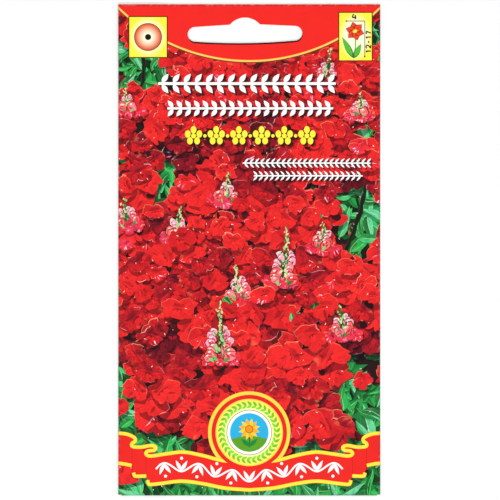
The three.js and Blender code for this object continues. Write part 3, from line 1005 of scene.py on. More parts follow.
    # The ribbon's left half. Its upper edge runs from the packet's side over two folds to the middle.
    ribbon_upper = (
        (-41.0, -55.9), (-37.6, -56.2), (-35.2, -57.2), (-34.8, -58.3), (-35.8, -59.1), (-35.6, -60.0),
        (-33.0, -60.2), (-30.0, -59.7), (-28.6, -60.2), (-29.0, -61.1), (-31.0, -61.4), (-31.5, -62.3),
        (-30.0, -62.9), (-25.0, -62.2), (-20.0, -61.7), (-14.0, -62.8), (-8.0, -64.3), (0.0, -64.9),
    )
    ribbon_lower = (
        (-31.0, -70.3), (-30.8, -71.2), (-30.1, -71.6), (-27.0, -71.3),
        (-20.5, -70.6), (-14.0, -71.4), (-7.5, -72.7), (0.0, -73.3),
    )
    ribbon_tails = (
        ((-41.0, -65.0), (-38.5, -65.3), (-35.9, -65.8)),
        ((-35.3, -68.0), (-35.1, -68.8), (-34.5, -69.1), (-31.4, -69.0)),
    )
    ribbon_turn = ((-33.5, -60.0), (-28.8, -60.7), (-29.2, -62.4), (-31.4, -62.7))
    vine_left = ((-28.5, -66.9), (-20.5, -66.1), (-12.0, -67.4))
    vine_middle = (0.0, -69.2)

    def mirrored(self, points, side):
        """The points, turned over to the right where the side is -1."""
        return np.asarray(points, float) * (side, 1)

    def ribbon(self):
        """A red ribbon with yellow edges, folded back twice at each end, with a vine along it."""
        border, red = 1.0, lit(self.inks.red, 0.975)
        for side in (1, -1):
            upper = flowing(self.mirrored(self.ribbon_upper, side), 5)
            lower = flowing(self.mirrored(self.ribbon_lower, side), 6)
            tails = [flowing(self.mirrored(tail, side), 5) for tail in self.ribbon_tails]
            cloth = np.vstack((upper, lower[::-1], tails[1][::-1], tails[0][::-1]))
            self.art.shade(cloth + (0.3, -0.5), 0.45)
            self.art.patch(cloth, red)
            self.art.patch(self.mirrored(self.ribbon_turn, side), lit(red, 0.85))
            for edge in (lower, *tails, upper):
                self.art.patch(band(edge, border + 0.16), mixed(self.inks.gold, self.inks.red, 0.5))
            for edge in (lower, *tails, upper):
                self.art.patch(band(edge, border), self.inks.yellow)
            for fold_x, high, low in ((-35.8, -60.6, -68.2), (-31.5, -63.2, -70.4)):
                fold = self.mirrored([(fold_x, high), (fold_x, low)], side)
                self.art.shade(band(fold, 0.22), 0.25)
        vine_right = self.mirrored(self.vine_left, -1)[::-1]
        self.vine_row(flowing([*self.vine_left, self.vine_middle, *vine_right], 12), 5.6, self.inks.white)

    def vine_row(self, line, height, ink):
        """A thin running vine with small pointed leaves and round berries along a line."""
        line = np.asarray(line, float)
        steps = np.linalg.norm(np.diff(line, axis=0), axis=1)
        travelled = np.concatenate(([0], np.cumsum(steps)))
        waves, steps_a_wave = 11, 12
        shares = np.linspace(0, 1, steps_a_wave * waves + 1)
        reached = shares * travelled[-1]
        centre = np.stack([np.interp(reached, travelled, line[:, axis]) for axis in (0, 1)], -1)
        along, across = directions(centre)
        path = centre + across * (0.27 * height * np.sin(math.pi * waves * shares)[:, None])
        self.art.patch(band(path, 0.095 * height), ink)
        for k in range(waves):
            at = steps_a_wave * k + steps_a_wave // 2
            side = -1 if k % 2 else 1
            foot, out, way = path[at], across[at] * side, along[at]
            for lean in (-0.75, 0.75):
                tip = foot - out * 0.60 * height + way * lean * 0.42 * height
                self.art.patch(leaf_outline(foot - out * 0.04 * height, tip, 0.10 * height), ink)
            self.art.patch(circle(foot - out * 0.72 * height, 0.085 * height, 10), ink)

    badge_centre = np.array((0.0, -55.7))

    def badge_disc(self, radius):
        """A yellow disc with a thin dark edge, which shows as a ring round what lies on it."""
        edge = mixed(self.inks.gold, self.inks.red, 0.5)
        warm = mixed(self.inks.yellow, self.inks.gold, 0.45)
        self.art.patch(circle(self.badge_centre, radius + 0.1, 60), edge)
        self.art.patch(circle(self.badge_centre, radius, 60), warm)

    def badge_rim(self):
        """The round badge's outer rim, which the ribbon's upper edge runs into."""
        self.art.shade(circle(self.badge_centre + (0.3, -0.5), 12.9, 48), 0.4)
        self.badge_disc(12.54)
        self.art.patch(circle(self.badge_centre, 11.54, 60), mixed(self.inks.gold, self.inks.red, 0.5))

    def round_badge(self):
        """A garden daisy on a blue disc, in a wreath of small leaves."""
        centre = self.badge_centre
        self.art.patch(circle(centre, 11.46, 60), lit(self.inks.red, 0.95))
        self.badge_disc(10.25)
        for share in np.linspace(1, 0.6, 6):
            ink = mixed(self.inks.cream, self.inks.yellow, (share - 0.6) / 0.5)
            self.art.patch(circle(centre, 9.9 * share, 48), ink)
        leaves = 34
        for k in range(leaves):
            angle = 2 * math.pi * k / leaves
            foot = centre + 8.4 * heading(angle)
            for lean, light in ((-0.6, 1.04), (0.6, 1.18)):
                tip = foot + 1.9 * heading(angle + UP + lean)
                self.art.patch(leaf_outline(foot, tip, 0.42), lit(self.inks.grass, light))
        for radius, ink in ((6.9, self.inks.line), (6.75, self.inks.white), (5.9, self.inks.blue)):
            self.art.patch(circle(centre, radius, 40), ink)
        hill = [centre + 5.9 * heading(a) for a in np.linspace(math.pi + 0.35, 2 * math.pi - 0.35, 20)]
        hill += [centre + (3.0, -1.3), centre + (0, -0.9), centre + (-3.0, -1.3)]
        self.art.patch(hill, lit(self.inks.grass, 0.85))
        flower = centre + (0, 1.0)
        self.art.patch(band([flower, centre + (0.1, -4.6)], 0.4), lit(self.inks.stem, 0.8))
        for side in (-1, 1):
            leaf = leaf_outline(centre + (0.1, -4.2), centre + (side * 2.5, -1.9), 0.65)
            self.art.patch(leaf, lit(self.inks.stem, 0.95))
        for k in range(12):
            way = heading(2 * math.pi * (k + 0.5) / 12)
            ink = mixed(self.inks.yellow, self.inks.orange, 0.25 + 0.4 * (k % 2))
            self.art.patch(leaf_outline(flower, flower + 3.35 * way, 0.68), ink)
        for radius, ink in ((1.3, lit(self.inks.orange, 0.8)), (0.95, self.inks.orange)):
            self.art.patch(circle(flower, radius, 18), ink)

    def sides_and_back(self):
        """The red header runs right round, and the rest of the back is cream over a red foot."""
        sheet, inks = self.sheet, self.inks
        edge = sheet.right + 0.12
        low, top = sheet.flap_edge - 2, sheet.top + 5
        for near, far in ((-edge, sheet.seam_edge - 2), (edge, sheet.back_edge + 2)):
            left, right = sorted((near, far))
            self.art.patch(box_outline((left, low), (right, top)), inks.cream)
            self.art.patch(box_outline((left, self.arc_low), (right, top)), inks.red)
            self.art.patch(box_outline((left, self.arc_low - 0.7), (right, self.arc_low)), inks.gold)
        self.art.patch(box_outline((-edge, low), (edge, sheet.bottom_fold - sheet.bottom_arc)), inks.red)
        self.back_rules()

    def back_rules(self):
        """Ruled lines for the grower's own notes, and a row of twelve month boxes."""
        sheet, inks = self.sheet, self.inks
        left, right = -33.0, 33.0
        for y in np.arange(44, -30, -8.0):
            line = sheet.on_back(box_outline((left, y), (right, y + 0.25)))
            self.art.patch(line, mixed(inks.cream, inks.line, 0.45))
        sowing_months, flowering_months = (2, 3), (5, 6, 7, 8)
        pitch, low, high = (right - left) / 12, -47.0, -41.0
        for month in range(12):
            x = right - pitch * (month + 1)
            fill = inks.grass if month in flowering_months else inks.cream
            fill = inks.red if month in sowing_months else fill
            for inset, rise, ink in ((0.35, 0, mixed(inks.cream, inks.line, 0.5)), (0.6, 0.25, fill)):
                outline = box_outline((x + inset, low + rise), (x + pitch - inset, high - rise))
                self.art.patch(sheet.on_back(outline), ink)


# ---- From the drawing to the mesh ----

# How far apart the spots stand that let the printed and the plain side bend.
PRINTED_PITCH, PLAIN_PITCH = 2.5, 4.0

# Spots of the drawing, and of the printed side's mesh, that are closer than this become one.
DRAWING_GAP, MESH_GAP = 1e-4, 1e-3


def inside(outline, points):
    """Which points lie inside the outline."""
    x, y = points.T
    found = np.zeros(len(points), bool)
    for (x0, y0), (x1, y1) in zip(outline, np.roll(outline, -1, axis=0)):
        if y0 != y1:
            found ^= ((y0 > y) != (y1 > y)) & (x < x0 + (y - y0) * (x1 - x0) / (y1 - y0))
    return found


def uncovered_edges(art, sheet, pitch=0.12):
    """The edges that no later patch covers, tried on a fine raster, and the patches that show."""
    low = np.array((sheet.seam_edge - 1, sheet.flap_edge - 1))
    high = np.array((sheet.back_edge + 1, sheet.top + 1))
    covered = np.zeros(np.ceil((high - low) / pitch).astype(int) + 2, bool)
    last = np.array(covered.shape) - 2
    edges, showing = [], []
    for patch in range(len(art.outlines) - 1, -1, -1):
        outline = art.outlines[patch]
        start = np.clip(((outline.min(axis=0) - low) / pitch).astype(int), 0, last)
        end = np.clip(((outline.max(axis=0) - low) / pitch).astype(int) + 1, 1, last + 1)
        window = covered[start[0] : end[0], start[1] : end[1]]
        if window.all():
            continue
        cells = np.stack(np.meshgrid(*(np.arange(a, b) for a, b in zip(start, end)), indexing="ij"), -1)
        within = inside(outline, low + (cells.reshape(-1, 2) + 0.5) * pitch).reshape(window.shape)
        showing.append(patch)
        following = np.roll(outline, -1, axis=0)
        steps = np.maximum(1, np.ceil(np.linalg.norm(following - outline, axis=1) / pitch)).astype(int)
        for here, there, count in zip(outline, following, steps):
            along = here + (there - here) * np.linspace(0, 1, count + 1)[:, None]
            i, j = np.clip(((along - low) / pitch).astype(int), 1, last).T
            if not covered[i, j].all() or not (covered[i - 1, j - 1] & covered[i + 1, j + 1]).all():
                edges.append((here, there))
        if not art.shades[patch]:
            window |= within
    return edges, showing


def what_shows(art, showing, sheet, slots, points):
    """The patch that shows at each point, or -1 off the sheet, and its light under the shades over it."""
    order = np.argsort(points[:, 0])
    sorted_u = points[order, 0]
    shown = np.full(len(points), -1)
    light = np.ones(len(points))
    bare = inside(sheet.outline(), points)
    for slot in slots:
        bare &= ~inside(slot, points)
    for patch in showing:
        outline = art.outlines[patch]
        (u_low, v_low), (u_high, v_high) = outline.min(axis=0), outline.max(axis=0)
        near = order[np.searchsorted(sorted_u, u_low) : np.searchsorted(sorted_u, u_high)]
        v = points[near, 1]
        near = near[bare[near] & (v > v_low) & (v < v_high)]
        near = near[inside(outline, points[near])]
        if art.shades[patch]:
            light[near] *= 1 - art.shades[patch]
        else:
            shown[near] = patch
            bare[near] = False
    return shown, light.round(3)


def triangle_edges(triangles):
    """The three edges of each triangle, as pairs of corners."""
    return triangles[:, [0, 1, 1, 2, 2, 0]].reshape(-1, 2)


def changing_edges(triangles, shown, light):
    """The edges where what is printed changes."""
    edges = np.sort(triangle_edges(triangles), axis=1)
    owners = np.repeat(np.arange(len(triangles)), 3)
    order = np.lexsort((edges[:, 1], edges[:, 0]))
    edges, owners = edges[order], owners[order]
    shared = np.flatnonzero(np.all(edges[1:] == edges[:-1], axis=1))
    first, second = owners[shared], owners[shared + 1]
    return edges[shared[(shown[first] != shown[second]) | (light[first] != light[second])]]


def with_creases(sheet, corners, edges, pitch):
    """Adds the fold lines, and spots at this pitch."""
    corners, edges = [tuple(corner) for corner in corners], [tuple(edge) for edge in edges]
    for line in sheet.creases():
        edges += [(len(corners) + k, len(corners) + k + 1) for k in range(len(line) - 1)]
        corners += line
    corners.extend(sheet.grid(pitch))
    return [Vector(corner) for corner in corners], edges


def printed_triangles(art, sheet, slots):
    """The printed side, cut along what shows: spots, triangles, and the patch and light of each."""
    edges, showing = uncovered_edges(art, sheet)
    for outline in (sheet.outline(), *slots):
        edges += list(zip(outline, np.roll(outline, -1, axis=0)))
    corners = [Vector(end) for edge in edges for end in edge]
    pairs = [(2 * k, 2 * k + 1) for k in range(len(edges))]
    spots, _, triangles, *_ = delaunay_2d_cdt(corners, pairs, [], 0, DRAWING_GAP, False)
    spots, triangles = np.array(spots), np.array(triangles)
    shown, light = what_shows(art, showing, sheet, slots, spots[triangles].mean(axis=1))
    used, edges = np.unique(changing_edges(triangles, shown, light), return_inverse=True)
    corners, edges = with_creases(sheet, spots[used], edges.reshape(-1, 2).tolist(), PRINTED_PITCH)
    flat, _, faces, *_ = delaunay_2d_cdt(corners, edges, [], 0, MESH_GAP, False)
    flat, faces = np.array(flat), np.array(faces)
    shown, light = what_shows(art, showing, sheet, slots, flat[faces].mean(axis=1))
    on_sheet = shown >= 0
    return flat, faces[on_sheet], shown[on_sheet], light[on_sheet]


def border_loops(flat, faces):
    """The closed lines round the faces, the sheet's own outline first and then the slots."""
    known = {tuple(edge) for edge in triangle_edges(faces).tolist()}
    following = {a: b for a, b in sorted(known) if (b, a) not in known}
    loops = []
    while following:
        loop = [next(iter(following))]
        while following[loop[-1]] != loop[0]:
            loop.append(following.pop(loop[-1]))
            if loop[-1] not in following:
                raise RuntimeError("the printed sheet's border isn't closed")
        following.pop(loop[-1])
        loops.append(loop)
    return sorted(loops, key=lambda loop: -np.ptp(flat[loop, 0]))


def plain_triangles(sheet, flat, loops):
    """The plain side with the same border: spots, triangles and where the border's spots are."""
    border = [spot for loop in loops for spot in loop]
    starts = np.cumsum([0] + [len(loop) for loop in loops])
    edges = []
    for start, loop in zip(starts, loops):
        edges += [(start + k, start + (k + 1) % len(loop)) for k in range(len(loop))]
    corners, edges = with_creases(sheet, flat[border], edges, PLAIN_PITCH)
    outer, *holes = [list(range(start, start + len(loop))) for start, loop in zip(starts, loops)]
    areas = [outer, *(hole[::-1] for hole in holes)]
    cut = delaunay_2d_cdt(corners, edges, areas, 0, DRAWING_GAP, True)
    spots, _, triangles, spot_sources, _, areas_under = cut
    kept = [face for face, under in zip(triangles, areas_under) if list(under) == [0]]
    where = {source: new for new, sources in enumerate(spot_sources) for source in sources}
    return np.array(spots), np.array(kept), np.array([where[k] for k in range(len(border))])


def normals(sheet, flat, depth):
    """The folded sheet's own normals, which thin triangles don't spoil."""
    reach = 0.02
    u, v = flat.T
    across = sheet.place(u + reach, v, depth) - sheet.place(u - reach, v, depth)
    along = sheet.place(u, v + reach, depth) - sheet.place(u, v - reach, depth)
    facing = np.cross(across, along)
    return facing / np.linalg.norm(facing, axis=1)[:, None]


def bake_layout(sheet, flat, plain_flat, corners, rim_count):
    """Each corner's spot in the unit square, with the plain side and the cut edges in strips."""
    size = sheet.back_edge - sheet.seam_edge
    both = np.concatenate((flat, plain_flat))
    layout = (both - (sheet.seam_edge, sheet.flap_edge)) / size * 0.915 + 0.005
    layout[len(flat) :, 0] = 0.925 + 0.07 * layout[len(flat) :, 0]
    spots = layout[corners]
    along_rim = np.arange(rim_count) / rim_count
    spots[-rim_count:, :, 0] = 0.01 + 0.9 * along_rim[:, None] + (0, 0.0002, 0.0004)
    spots[-rim_count:, :, 1] = (0.93, 0.96, 0.99)
    return spots


def folded_mesh(name, art, sheet, slots):
    """The folded sheet as one closed mesh: the printed side, the plain side and the cut edges."""
    flat, faces, patches, light = printed_triangles(art, sheet, slots)
    loops = border_loops(flat, faces)
    plain_flat, plain_faces, plain_border = plain_triangles(sheet, flat, loops)
    outer = sheet.place(*flat.T)
    inner = sheet.place(*plain_flat.T, sheet.paper)
    rim, start = [], 0
    for loop in loops:
        over = np.array(loop)
        under = plain_border[start : start + len(loop)] + len(outer)
        over_next, under_next = np.roll(over, -1), np.roll(under, -1)
        rim.append(np.stack((over_next, over, under, over_next, under, under_next), -1).reshape(-1, 3))
        start += len(loop)
    rim = np.concatenate(rim)
    plain = plain_faces[:, ::-1] + len(outer)
    corners = np.concatenate((faces, plain, rim))

    mesh = bpy.data.meshes.new(name)
    mesh.from_pydata(np.concatenate((outer, inner)), [], corners)
    finish = np.repeat((0, 1, 2), (len(faces), len(plain), len(rim))).astype(np.int32)
    mesh.polygons.foreach_set("material_index", finish)
    mesh.polygons.foreach_set("use_smooth", finish < 2)
    print_colours(mesh, art, sheet, flat, faces, patches, light)
    spots = bake_layout(sheet, flat, plain_flat, corners, len(rim))
    mesh.uv_layers.new(name="OFBake").data.foreach_set("uv", spots.ravel().astype(np.float32))
    facing = np.concatenate((normals(sheet, flat, 0), -normals(sheet, plain_flat, sheet.paper)))[corners]
    facing[-len(rim) :] = 0
    mesh.normals_split_custom_set(facing.reshape(-1, 3))
    print(f"{name}: {len(faces)} printed, {len(plain)} plain and {len(rim)} edge triangles")
    return mesh


def print_colours(mesh, art, sheet, flat, faces, patches, light):
    """Gives each corner its ink, relief and place on its petal, and a mask at the folds and top edge for
    painted shade and wear.
    """
    count = len(mesh.loops)
    ink = np.ones((count, 4), np.float32)
    place = np.zeros((count, 4), np.float32)
    printed = 3 * len(faces)
    inks, reliefs = np.array(art.inks), np.array(art.reliefs)
    each = np.repeat(patches, 3)
    shade_tint = (1.0, 1.1, 0.75)  # shade takes away more green than blue
    ink[:printed, :3] = inks[each] * np.repeat(light, 3)[:, None] ** shade_tint
    ink[:printed, 3] = reliefs[each]
    spots = np.concatenate((flat[faces].reshape(-1, 2), np.ones((printed, 1))), axis=1)
    rows = np.array(art.maps)[each].reshape(-1, 2, 3)
    local = np.einsum("nij,nj->ni", rows, spots)
    place[:printed, :2] = 0.5 + 0.5 * local
    place[:printed, 2] = np.array(art.seeds)[each]
    # The fourth place channel is a mask along the folds and the top edge. The coat paints shade there, as
    # where the sheet curves away from the light, and rubs a few flecks.
    from_side = np.abs(np.abs(spots[:, 0]) - sheet.fold - sheet.side_arc / 2)
    from_bottom = np.abs(spots[:, 1] - sheet.bottom_fold + sheet.bottom_arc / 2)
    from_edge = np.minimum(np.minimum(from_side, from_bottom), sheet.top - spots[:, 1])
    fold_shade_and_wear_reach = 0.4
    place[:printed, 3] = np.exp(-((from_edge / fold_shade_and_wear_reach) ** 2))
    for layer, values in (("ink", ink), ("place", place)):
        attribute = mesh.color_attributes.new(layer, "FLOAT_COLOR", "CORNER")
        attribute.data.foreach_set("color", values.ravel())


# ---- Materials ----


class NodeTree:
    """Adds nodes to a material or a group, each with its settings and what feeds it."""

    def __init__(self, tree):
        self.tree = tree

    def feed(self, node, feeds):
        """Gives a node's inputs what another node puts out, or a value."""
        for name, value in feeds.items():
            if isinstance(value, bpy.types.NodeSocket):
                self.tree.links.new(value, node.inputs[name])
            else:
                node.inputs[name].default_value = value

    def add(self, kind, feeds=None, **settings):
        """A new node."""
        node = self.tree.nodes.new(kind)
        for name, value in settings.items():
            setattr(node, name, value)
        self.feed(node, feeds or {})
        return node

    def object_space(self):
        """The place on the object itself, in metres."""
        return self.add("ShaderNodeTexCoord").outputs["Object"]

    def noise(self, vector, scale, detail=2.0, roughness=0.5):
        """Soft clouds, most of them near 0.5."""
        feeds = {"Vector": vector, "Scale": scale, "Detail": detail, "Roughness": roughness}
        return self.add("ShaderNodeTexNoise", feeds).outputs["Fac"]

    def between(self, value, low, high, new_low, new_high):
        """Runs from new_low to new_high in a smooth step as the value goes from low to high."""
        feeds = {"Value": value, "From Min": low, "From Max": high, "To Min": new_low, "To Max": new_high}
        return self.add("ShaderNodeMapRange", feeds, interpolation_type="SMOOTHSTEP").outputs["Result"]

    def math(self, operation, first, second=0.0, third=0.0):
        """What a sum with numbers gives."""
        return self.add("ShaderNodeMath", {0: first, 1: second, 2: third}, operation=operation).outputs[0]

    def mix(self, share, first, second):
        """The first colour, with this share of it replaced by the second."""
        feeds = {0: share, 6: first, 7: second}
        return self.add("ShaderNodeMix", feeds, data_type="RGBA").outputs[2]

    def scaled(self, colour, factor):
        """A colour made brighter or darker."""
        feeds = {0: colour, "Scale": factor}
        return self.add("ShaderNodeVectorMath", feeds, operation="SCALE").outputs[0]

    def vector_math(self, operation, *values):
        """What a sum with vectors gives."""
        node = self.add("ShaderNodeVectorMath", dict(enumerate(values)), operation=operation)
        return node.outputs["Value" if operation == "LENGTH" else "Vector"]

    def group(self, name, feeds):
        """What a shared effect puts out."""
        return self.add("ShaderNodeGroup", feeds, node_tree=EFFECTS[name]()).outputs


def effect(name, inputs, outputs):
    """An empty shader node group with these inputs and outputs."""
    group = bpy.data.node_groups.new(name, "ShaderNodeTree")
    for socket, (kind, default) in inputs.items():
        group.interface.new_socket(socket, in_out="INPUT", socket_type=kind).default_value = default
    for socket, kind in outputs.items():
        group.interface.new_socket(socket, in_out="OUTPUT", socket_type=kind)
    tree = NodeTree(group)
    given = group.nodes.new("NodeGroupInput").outputs
    result = group.nodes.new("NodeGroupOutput").inputs
    return group, tree, given, result


def built_once(build):
    """Keeps an effect's node group, so that every material shares it."""
    made = {}

    def fetch():
        if "group" not in made:
            made["group"] = build()
        return made["group"]

    return fetch


FLOAT, COLOUR = "NodeSocketFloat", "NodeSocketColor"


@built_once
def paper_fibre():
    """Matted fibres: a cloudy tone, and a height for a Bump node."""
    inputs = {"Fibre Size": (FLOAT, 0.0006), "Cloudiness": (FLOAT, 0.04)}
    group, tree, given, result = effect("Paper fibre", inputs, {"Tone": FLOAT, "Height": FLOAT})
    where = tree.object_space()
    scale = tree.math("DIVIDE", 1.0, given["Fibre Size"])
    stretched = tree.add("ShaderNodeMapping", {"Vector": where, "Scale": (1.0, 0.35, 1.0)}).outputs[0]
    fibres = tree.noise(stretched, scale, 3.0, 0.6)
    clouds = tree.noise(where, tree.math("MULTIPLY", scale, 0.08), 2.0)
    darkest = tree.math("SUBTRACT", 1.0, given["Cloudiness"])
    mottled = tree.math("MULTIPLY_ADD", clouds, 0.6, tree.math("MULTIPLY", fibres, 0.4))
    tone = tree.between(mottled, 0.3, 0.7, darkest, 1.0)
    group.links.new(tone, result["Tone"])
    group.links.new(fibres, result["Height"])
    return group


@built_once
def petal_relief():
    """The light and shade on a printed petal, in folds that run out from its middle."""
    inputs = {"Place": (COLOUR, (0.5, 0.5, 0.5, 1)), "Amount": (FLOAT, 1.0)}
    group, tree, given, result = effect("Petal relief", inputs, {"Light": FLOAT, "Gleam": FLOAT})
    parts = tree.add("ShaderNodeSeparateXYZ", {0: given["Place"]}).outputs
    level = tree.add("ShaderNodeCombineXYZ", {"X": parts["X"], "Y": parts["Y"], "Z": 0.5}).outputs[0]
    outward = tree.vector_math("SUBTRACT", level, (0.5, 0.5, 0.5))
    distance = tree.vector_math("LENGTH", outward)
    way = tree.vector_math("NORMALIZE", outward)
    slice_height = tree.math("MULTIPLY_ADD", parts["Z"], 61.0, tree.math("MULTIPLY", distance, 1.1))
    lifted = tree.add("ShaderNodeCombineXYZ", {"Z": slice_height}).outputs[0]
    where = tree.vector_math("ADD", way, lifted)
    folds = tree.noise(where, 1.9, 2.5)
    veins = tree.noise(where, 7.0, 2.0, 0.7)
    from_middle = tree.between(distance, 0.04, 0.24, 0.35, 1.0)
    light = tree.math("MULTIPLY", from_middle, tree.between(folds, 0.34, 0.56, 0.35, 1.0))
    light = tree.math("MULTIPLY", light, tree.between(veins, 0.30, 0.50, 0.62, 1.0))
    from_crease = tree.math("ABSOLUTE", tree.math("SUBTRACT", tree.noise(where, 3.4, 3.0, 0.6), 0.5))
    light = tree.math("MULTIPLY", light, tree.between(from_crease, 0.0, 0.035, 0.2, 1.0))
    mottle = tree.noise(tree.object_space(), 2400.0, 2.0, 0.6)
    light = tree.math("MULTIPLY", light, tree.between(mottle, 0.40, 0.55, 0.72, 1.0))
    dimmed = tree.math("MULTIPLY", tree.math("SUBTRACT", 1.0, light), given["Amount"])
    shine = tree.between(folds, 0.62, 0.76, 0.0, 0.35)
    gleam = tree.math("MULTIPLY", shine, tree.between(distance, 0.25, 0.45, 0, 1))
    group.links.new(tree.math("SUBTRACT", 1.0, dimmed), result["Light"])
    group.links.new(tree.math("MULTIPLY", gleam, given["Amount"]), result["Gleam"])
    return group


EFFECTS = {"Paper fibre": paper_fibre, "Petal relief": petal_relief}


def new_material(name):
    """A material, its node tree and its shader."""
    material = bpy.data.materials.new(name)
    material.use_nodes = True
    tree = NodeTree(material.node_tree)
    return material, tree, material.node_tree.nodes["Principled BSDF"]


def bumped(tree, height, distance):
    """The normal of a surface that this height roughens."""
    return tree.add("ShaderNodeBump", {"Height": height, "Distance": distance}).outputs[0]


def printed_coat(inks):
    """Glossy coated paper under ink, with painted shade along the folds and edges, and a few rubbed
    flecks.
    """
    material, tree, shader = new_material("Printed coat")
    ink = tree.add("ShaderNodeVertexColor", layer_name="ink").outputs
    place = tree.add("ShaderNodeVertexColor", layer_name="place").outputs
    fibre = tree.group("Paper fibre", {"Fibre Size": 0.0005, "Cloudiness": 0.07})
    relief = tree.group("Petal relief", {"Place": place["Color"], "Amount": ink["Alpha"]})
    in_shade = tree.vector_math("MULTIPLY", ink["Color"], (0.30, 0.30, 0.62))
    colour = tree.mix(relief["Light"], in_shade, ink["Color"])
    colour = tree.mix(relief["Gleam"], colour, (*linear(inks.rim), 1))
    # Painted shade: the ink darkens along the folds and the top edge, where the sheet turns away from the
    # light.
    colour = tree.scaled(colour, tree.math("MULTIPLY_ADD", place["Alpha"], -0.42, fibre["Tone"]))
    where = tree.object_space()
    flecks = tree.between(tree.noise(where, 900.0, 3.0), 0.45, 0.75, 0.0, 0.28)
    rubbed = tree.math("MULTIPLY", place["Alpha"], flecks)
    roughness = tree.between(fibre["Height"], 0.3, 0.7, 0.40, 0.48)
    feeds = {
        "Base Color": tree.mix(rubbed, colour, (0.80, 0.72, 0.68, 1)),
        "Roughness": tree.math("MULTIPLY_ADD", rubbed, 0.3, roughness),
        "Specular IOR Level": 0.15,
        "Normal": bumped(tree, fibre["Height"], 0.00001),
    }
    tree.feed(shader, feeds)
    return material


def bare_paper(name, colour, fibre_size, roughness, translucency=0.0):
    """Uncoated fibrous paper, which lets light through where it is thin."""
    material, tree, shader = new_material(name)
    fibre = tree.group("Paper fibre", {"Fibre Size": fibre_size, "Cloudiness": 0.10})
    feeds = {
        "Base Color": tree.scaled(colour, fibre["Tone"]),
        "Roughness": roughness,
        "Subsurface Weight": translucency,
        "Subsurface Radius": (0.0004, 0.0004, 0.0003),
        "Normal": bumped(tree, fibre["Height"], 0.00003),
    }
    tree.feed(shader, feeds)
    return material


def dried_glue():
    """Yellowish and smooth, with wrinkles where it shrank."""
    material, tree, shader = new_material("Dried glue")
    where = tree.object_space()
    wrinkle = tree.noise(where, 700.0, 4.0, 0.6)
    dark, pale = (0.62, 0.52, 0.30, 1), (0.80, 0.72, 0.50, 1)
    colour = tree.mix(tree.between(wrinkle, 0.3, 0.7, 0, 1), dark, pale)
    roughness = tree.between(wrinkle, 0.3, 0.7, 0.18, 0.34)
    normal = bumped(tree, wrinkle, 0.00002)
    tree.feed(shader, {"Base Color": colour, "Roughness": roughness, "Normal": normal})
    return material


def seed_coat():
    """Dark brown, pitted and ridged."""
    material, tree, shader = new_material("Seed coat")
    where = tree.object_space()
    feeds = {"Vector": where, "Scale": 6000.0}
    pits = tree.add("ShaderNodeTexVoronoi", feeds, feature="DISTANCE_TO_EDGE").outputs["Distance"]
    grains = tree.noise(where, 1500.0, 1.0)
    dark, brown, ridge = (0.030, 0.014, 0.008, 1), (0.11, 0.055, 0.028, 1), (0.20, 0.12, 0.07, 1)
    colour = tree.mix(tree.between(grains, 0.35, 0.65, 0, 1), dark, brown)
    colour = tree.mix(tree.between(pits, 0.0, 0.12, 0.6, 0.0), colour, ridge)
    roughness = tree.between(pits, 0.0, 0.3, 0.75, 0.5)
    normal = bumped(tree, pits, 0.00008)
    tree.feed(shader, {"Base Color": colour, "Roughness": roughness, "Normal": normal})
    return material


# ---- Operators ----


def placed(name, data):
    """A new object in the scene."""
    thing = bpy.data.objects.new(name, data)
    bpy.context.scene.collection.objects.link(thing)
    return thing


def finish_node(name, material):
    """Gives a solid of the frame its finish."""
    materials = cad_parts[name].data.materials
    materials.clear()
    materials.append(material)


class SEEDPACKET_OT_printed_packet(bpy.types.Operator):
    """Draw the print on the flat sheet, cut the slots and fold it"""

    bl_idname = "seed_packet.printed_packet"
    bl_label = "Printed Packet"

    def execute(self, context):
        settings = context.scene.seed_packet
        sheet = FoldedSheet(settings.sheet)
        slot = slot_outline(sheet, settings.slot)
        art = Artwork()
        FlowerPicture(art, settings.picture, sheet).draw()
        PanelPrint(art, settings.panels, sheet, slot).draw()
        mesh = folded_mesh("printed_packet", art, sheet, [slot, sheet.on_back(slot)[::-1]])
        packet = placed("printed_packet", mesh)
        mesh.materials.append(printed_coat(settings.picture))
        mesh.materials.append(bare_paper("Bare paper", (0.86, 0.85, 0.80), 0.0006, 0.75))
        mesh.materials.append(bare_paper("Cut paper edge", (0.74, 0.60, 0.56), 0.0003, 0.85))
        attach(packet, "root")
        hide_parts("outer_packet")
        return {"FINISHED"}


class SEEDPACKET_OT_glue_films(bpy.types.Operator):
    """Finish the three films of dried glue that hold the sheet folded"""

    bl_idname = "seed_packet.glue_films"
    bl_label = "Glue Films"

    def execute(self, context):
        glue = dried_glue()
        for name in ("side_seam_glue", "header_glue", "bottom_flap_glue"):
            finish_node(name, glue)
        return {"FINISHED"}


class SEEDPACKET_OT_seed_pouch(bpy.types.Operator):
    """Finish the thin pouch that holds the seeds"""

    bl_idname = "seed_packet.seed_pouch"
    bl_label = "Seed Pouch"

    def execute(self, context):
        finish_node("inner_pouch", bare_paper("Thin pouch paper", (0.82, 0.79, 0.70), 0.0008, 0.5, 0.15))
        return {"FINISHED"}


class SEEDPACKET_OT_seeds(bpy.types.Operator):
    """Finish the heap of seeds in the pouch"""

    bl_idname = "seed_packet.seeds"
    bl_label = "Seeds"

    def execute(self, context):
        finish_node("seeds", seed_coat())
        return {"FINISHED"}


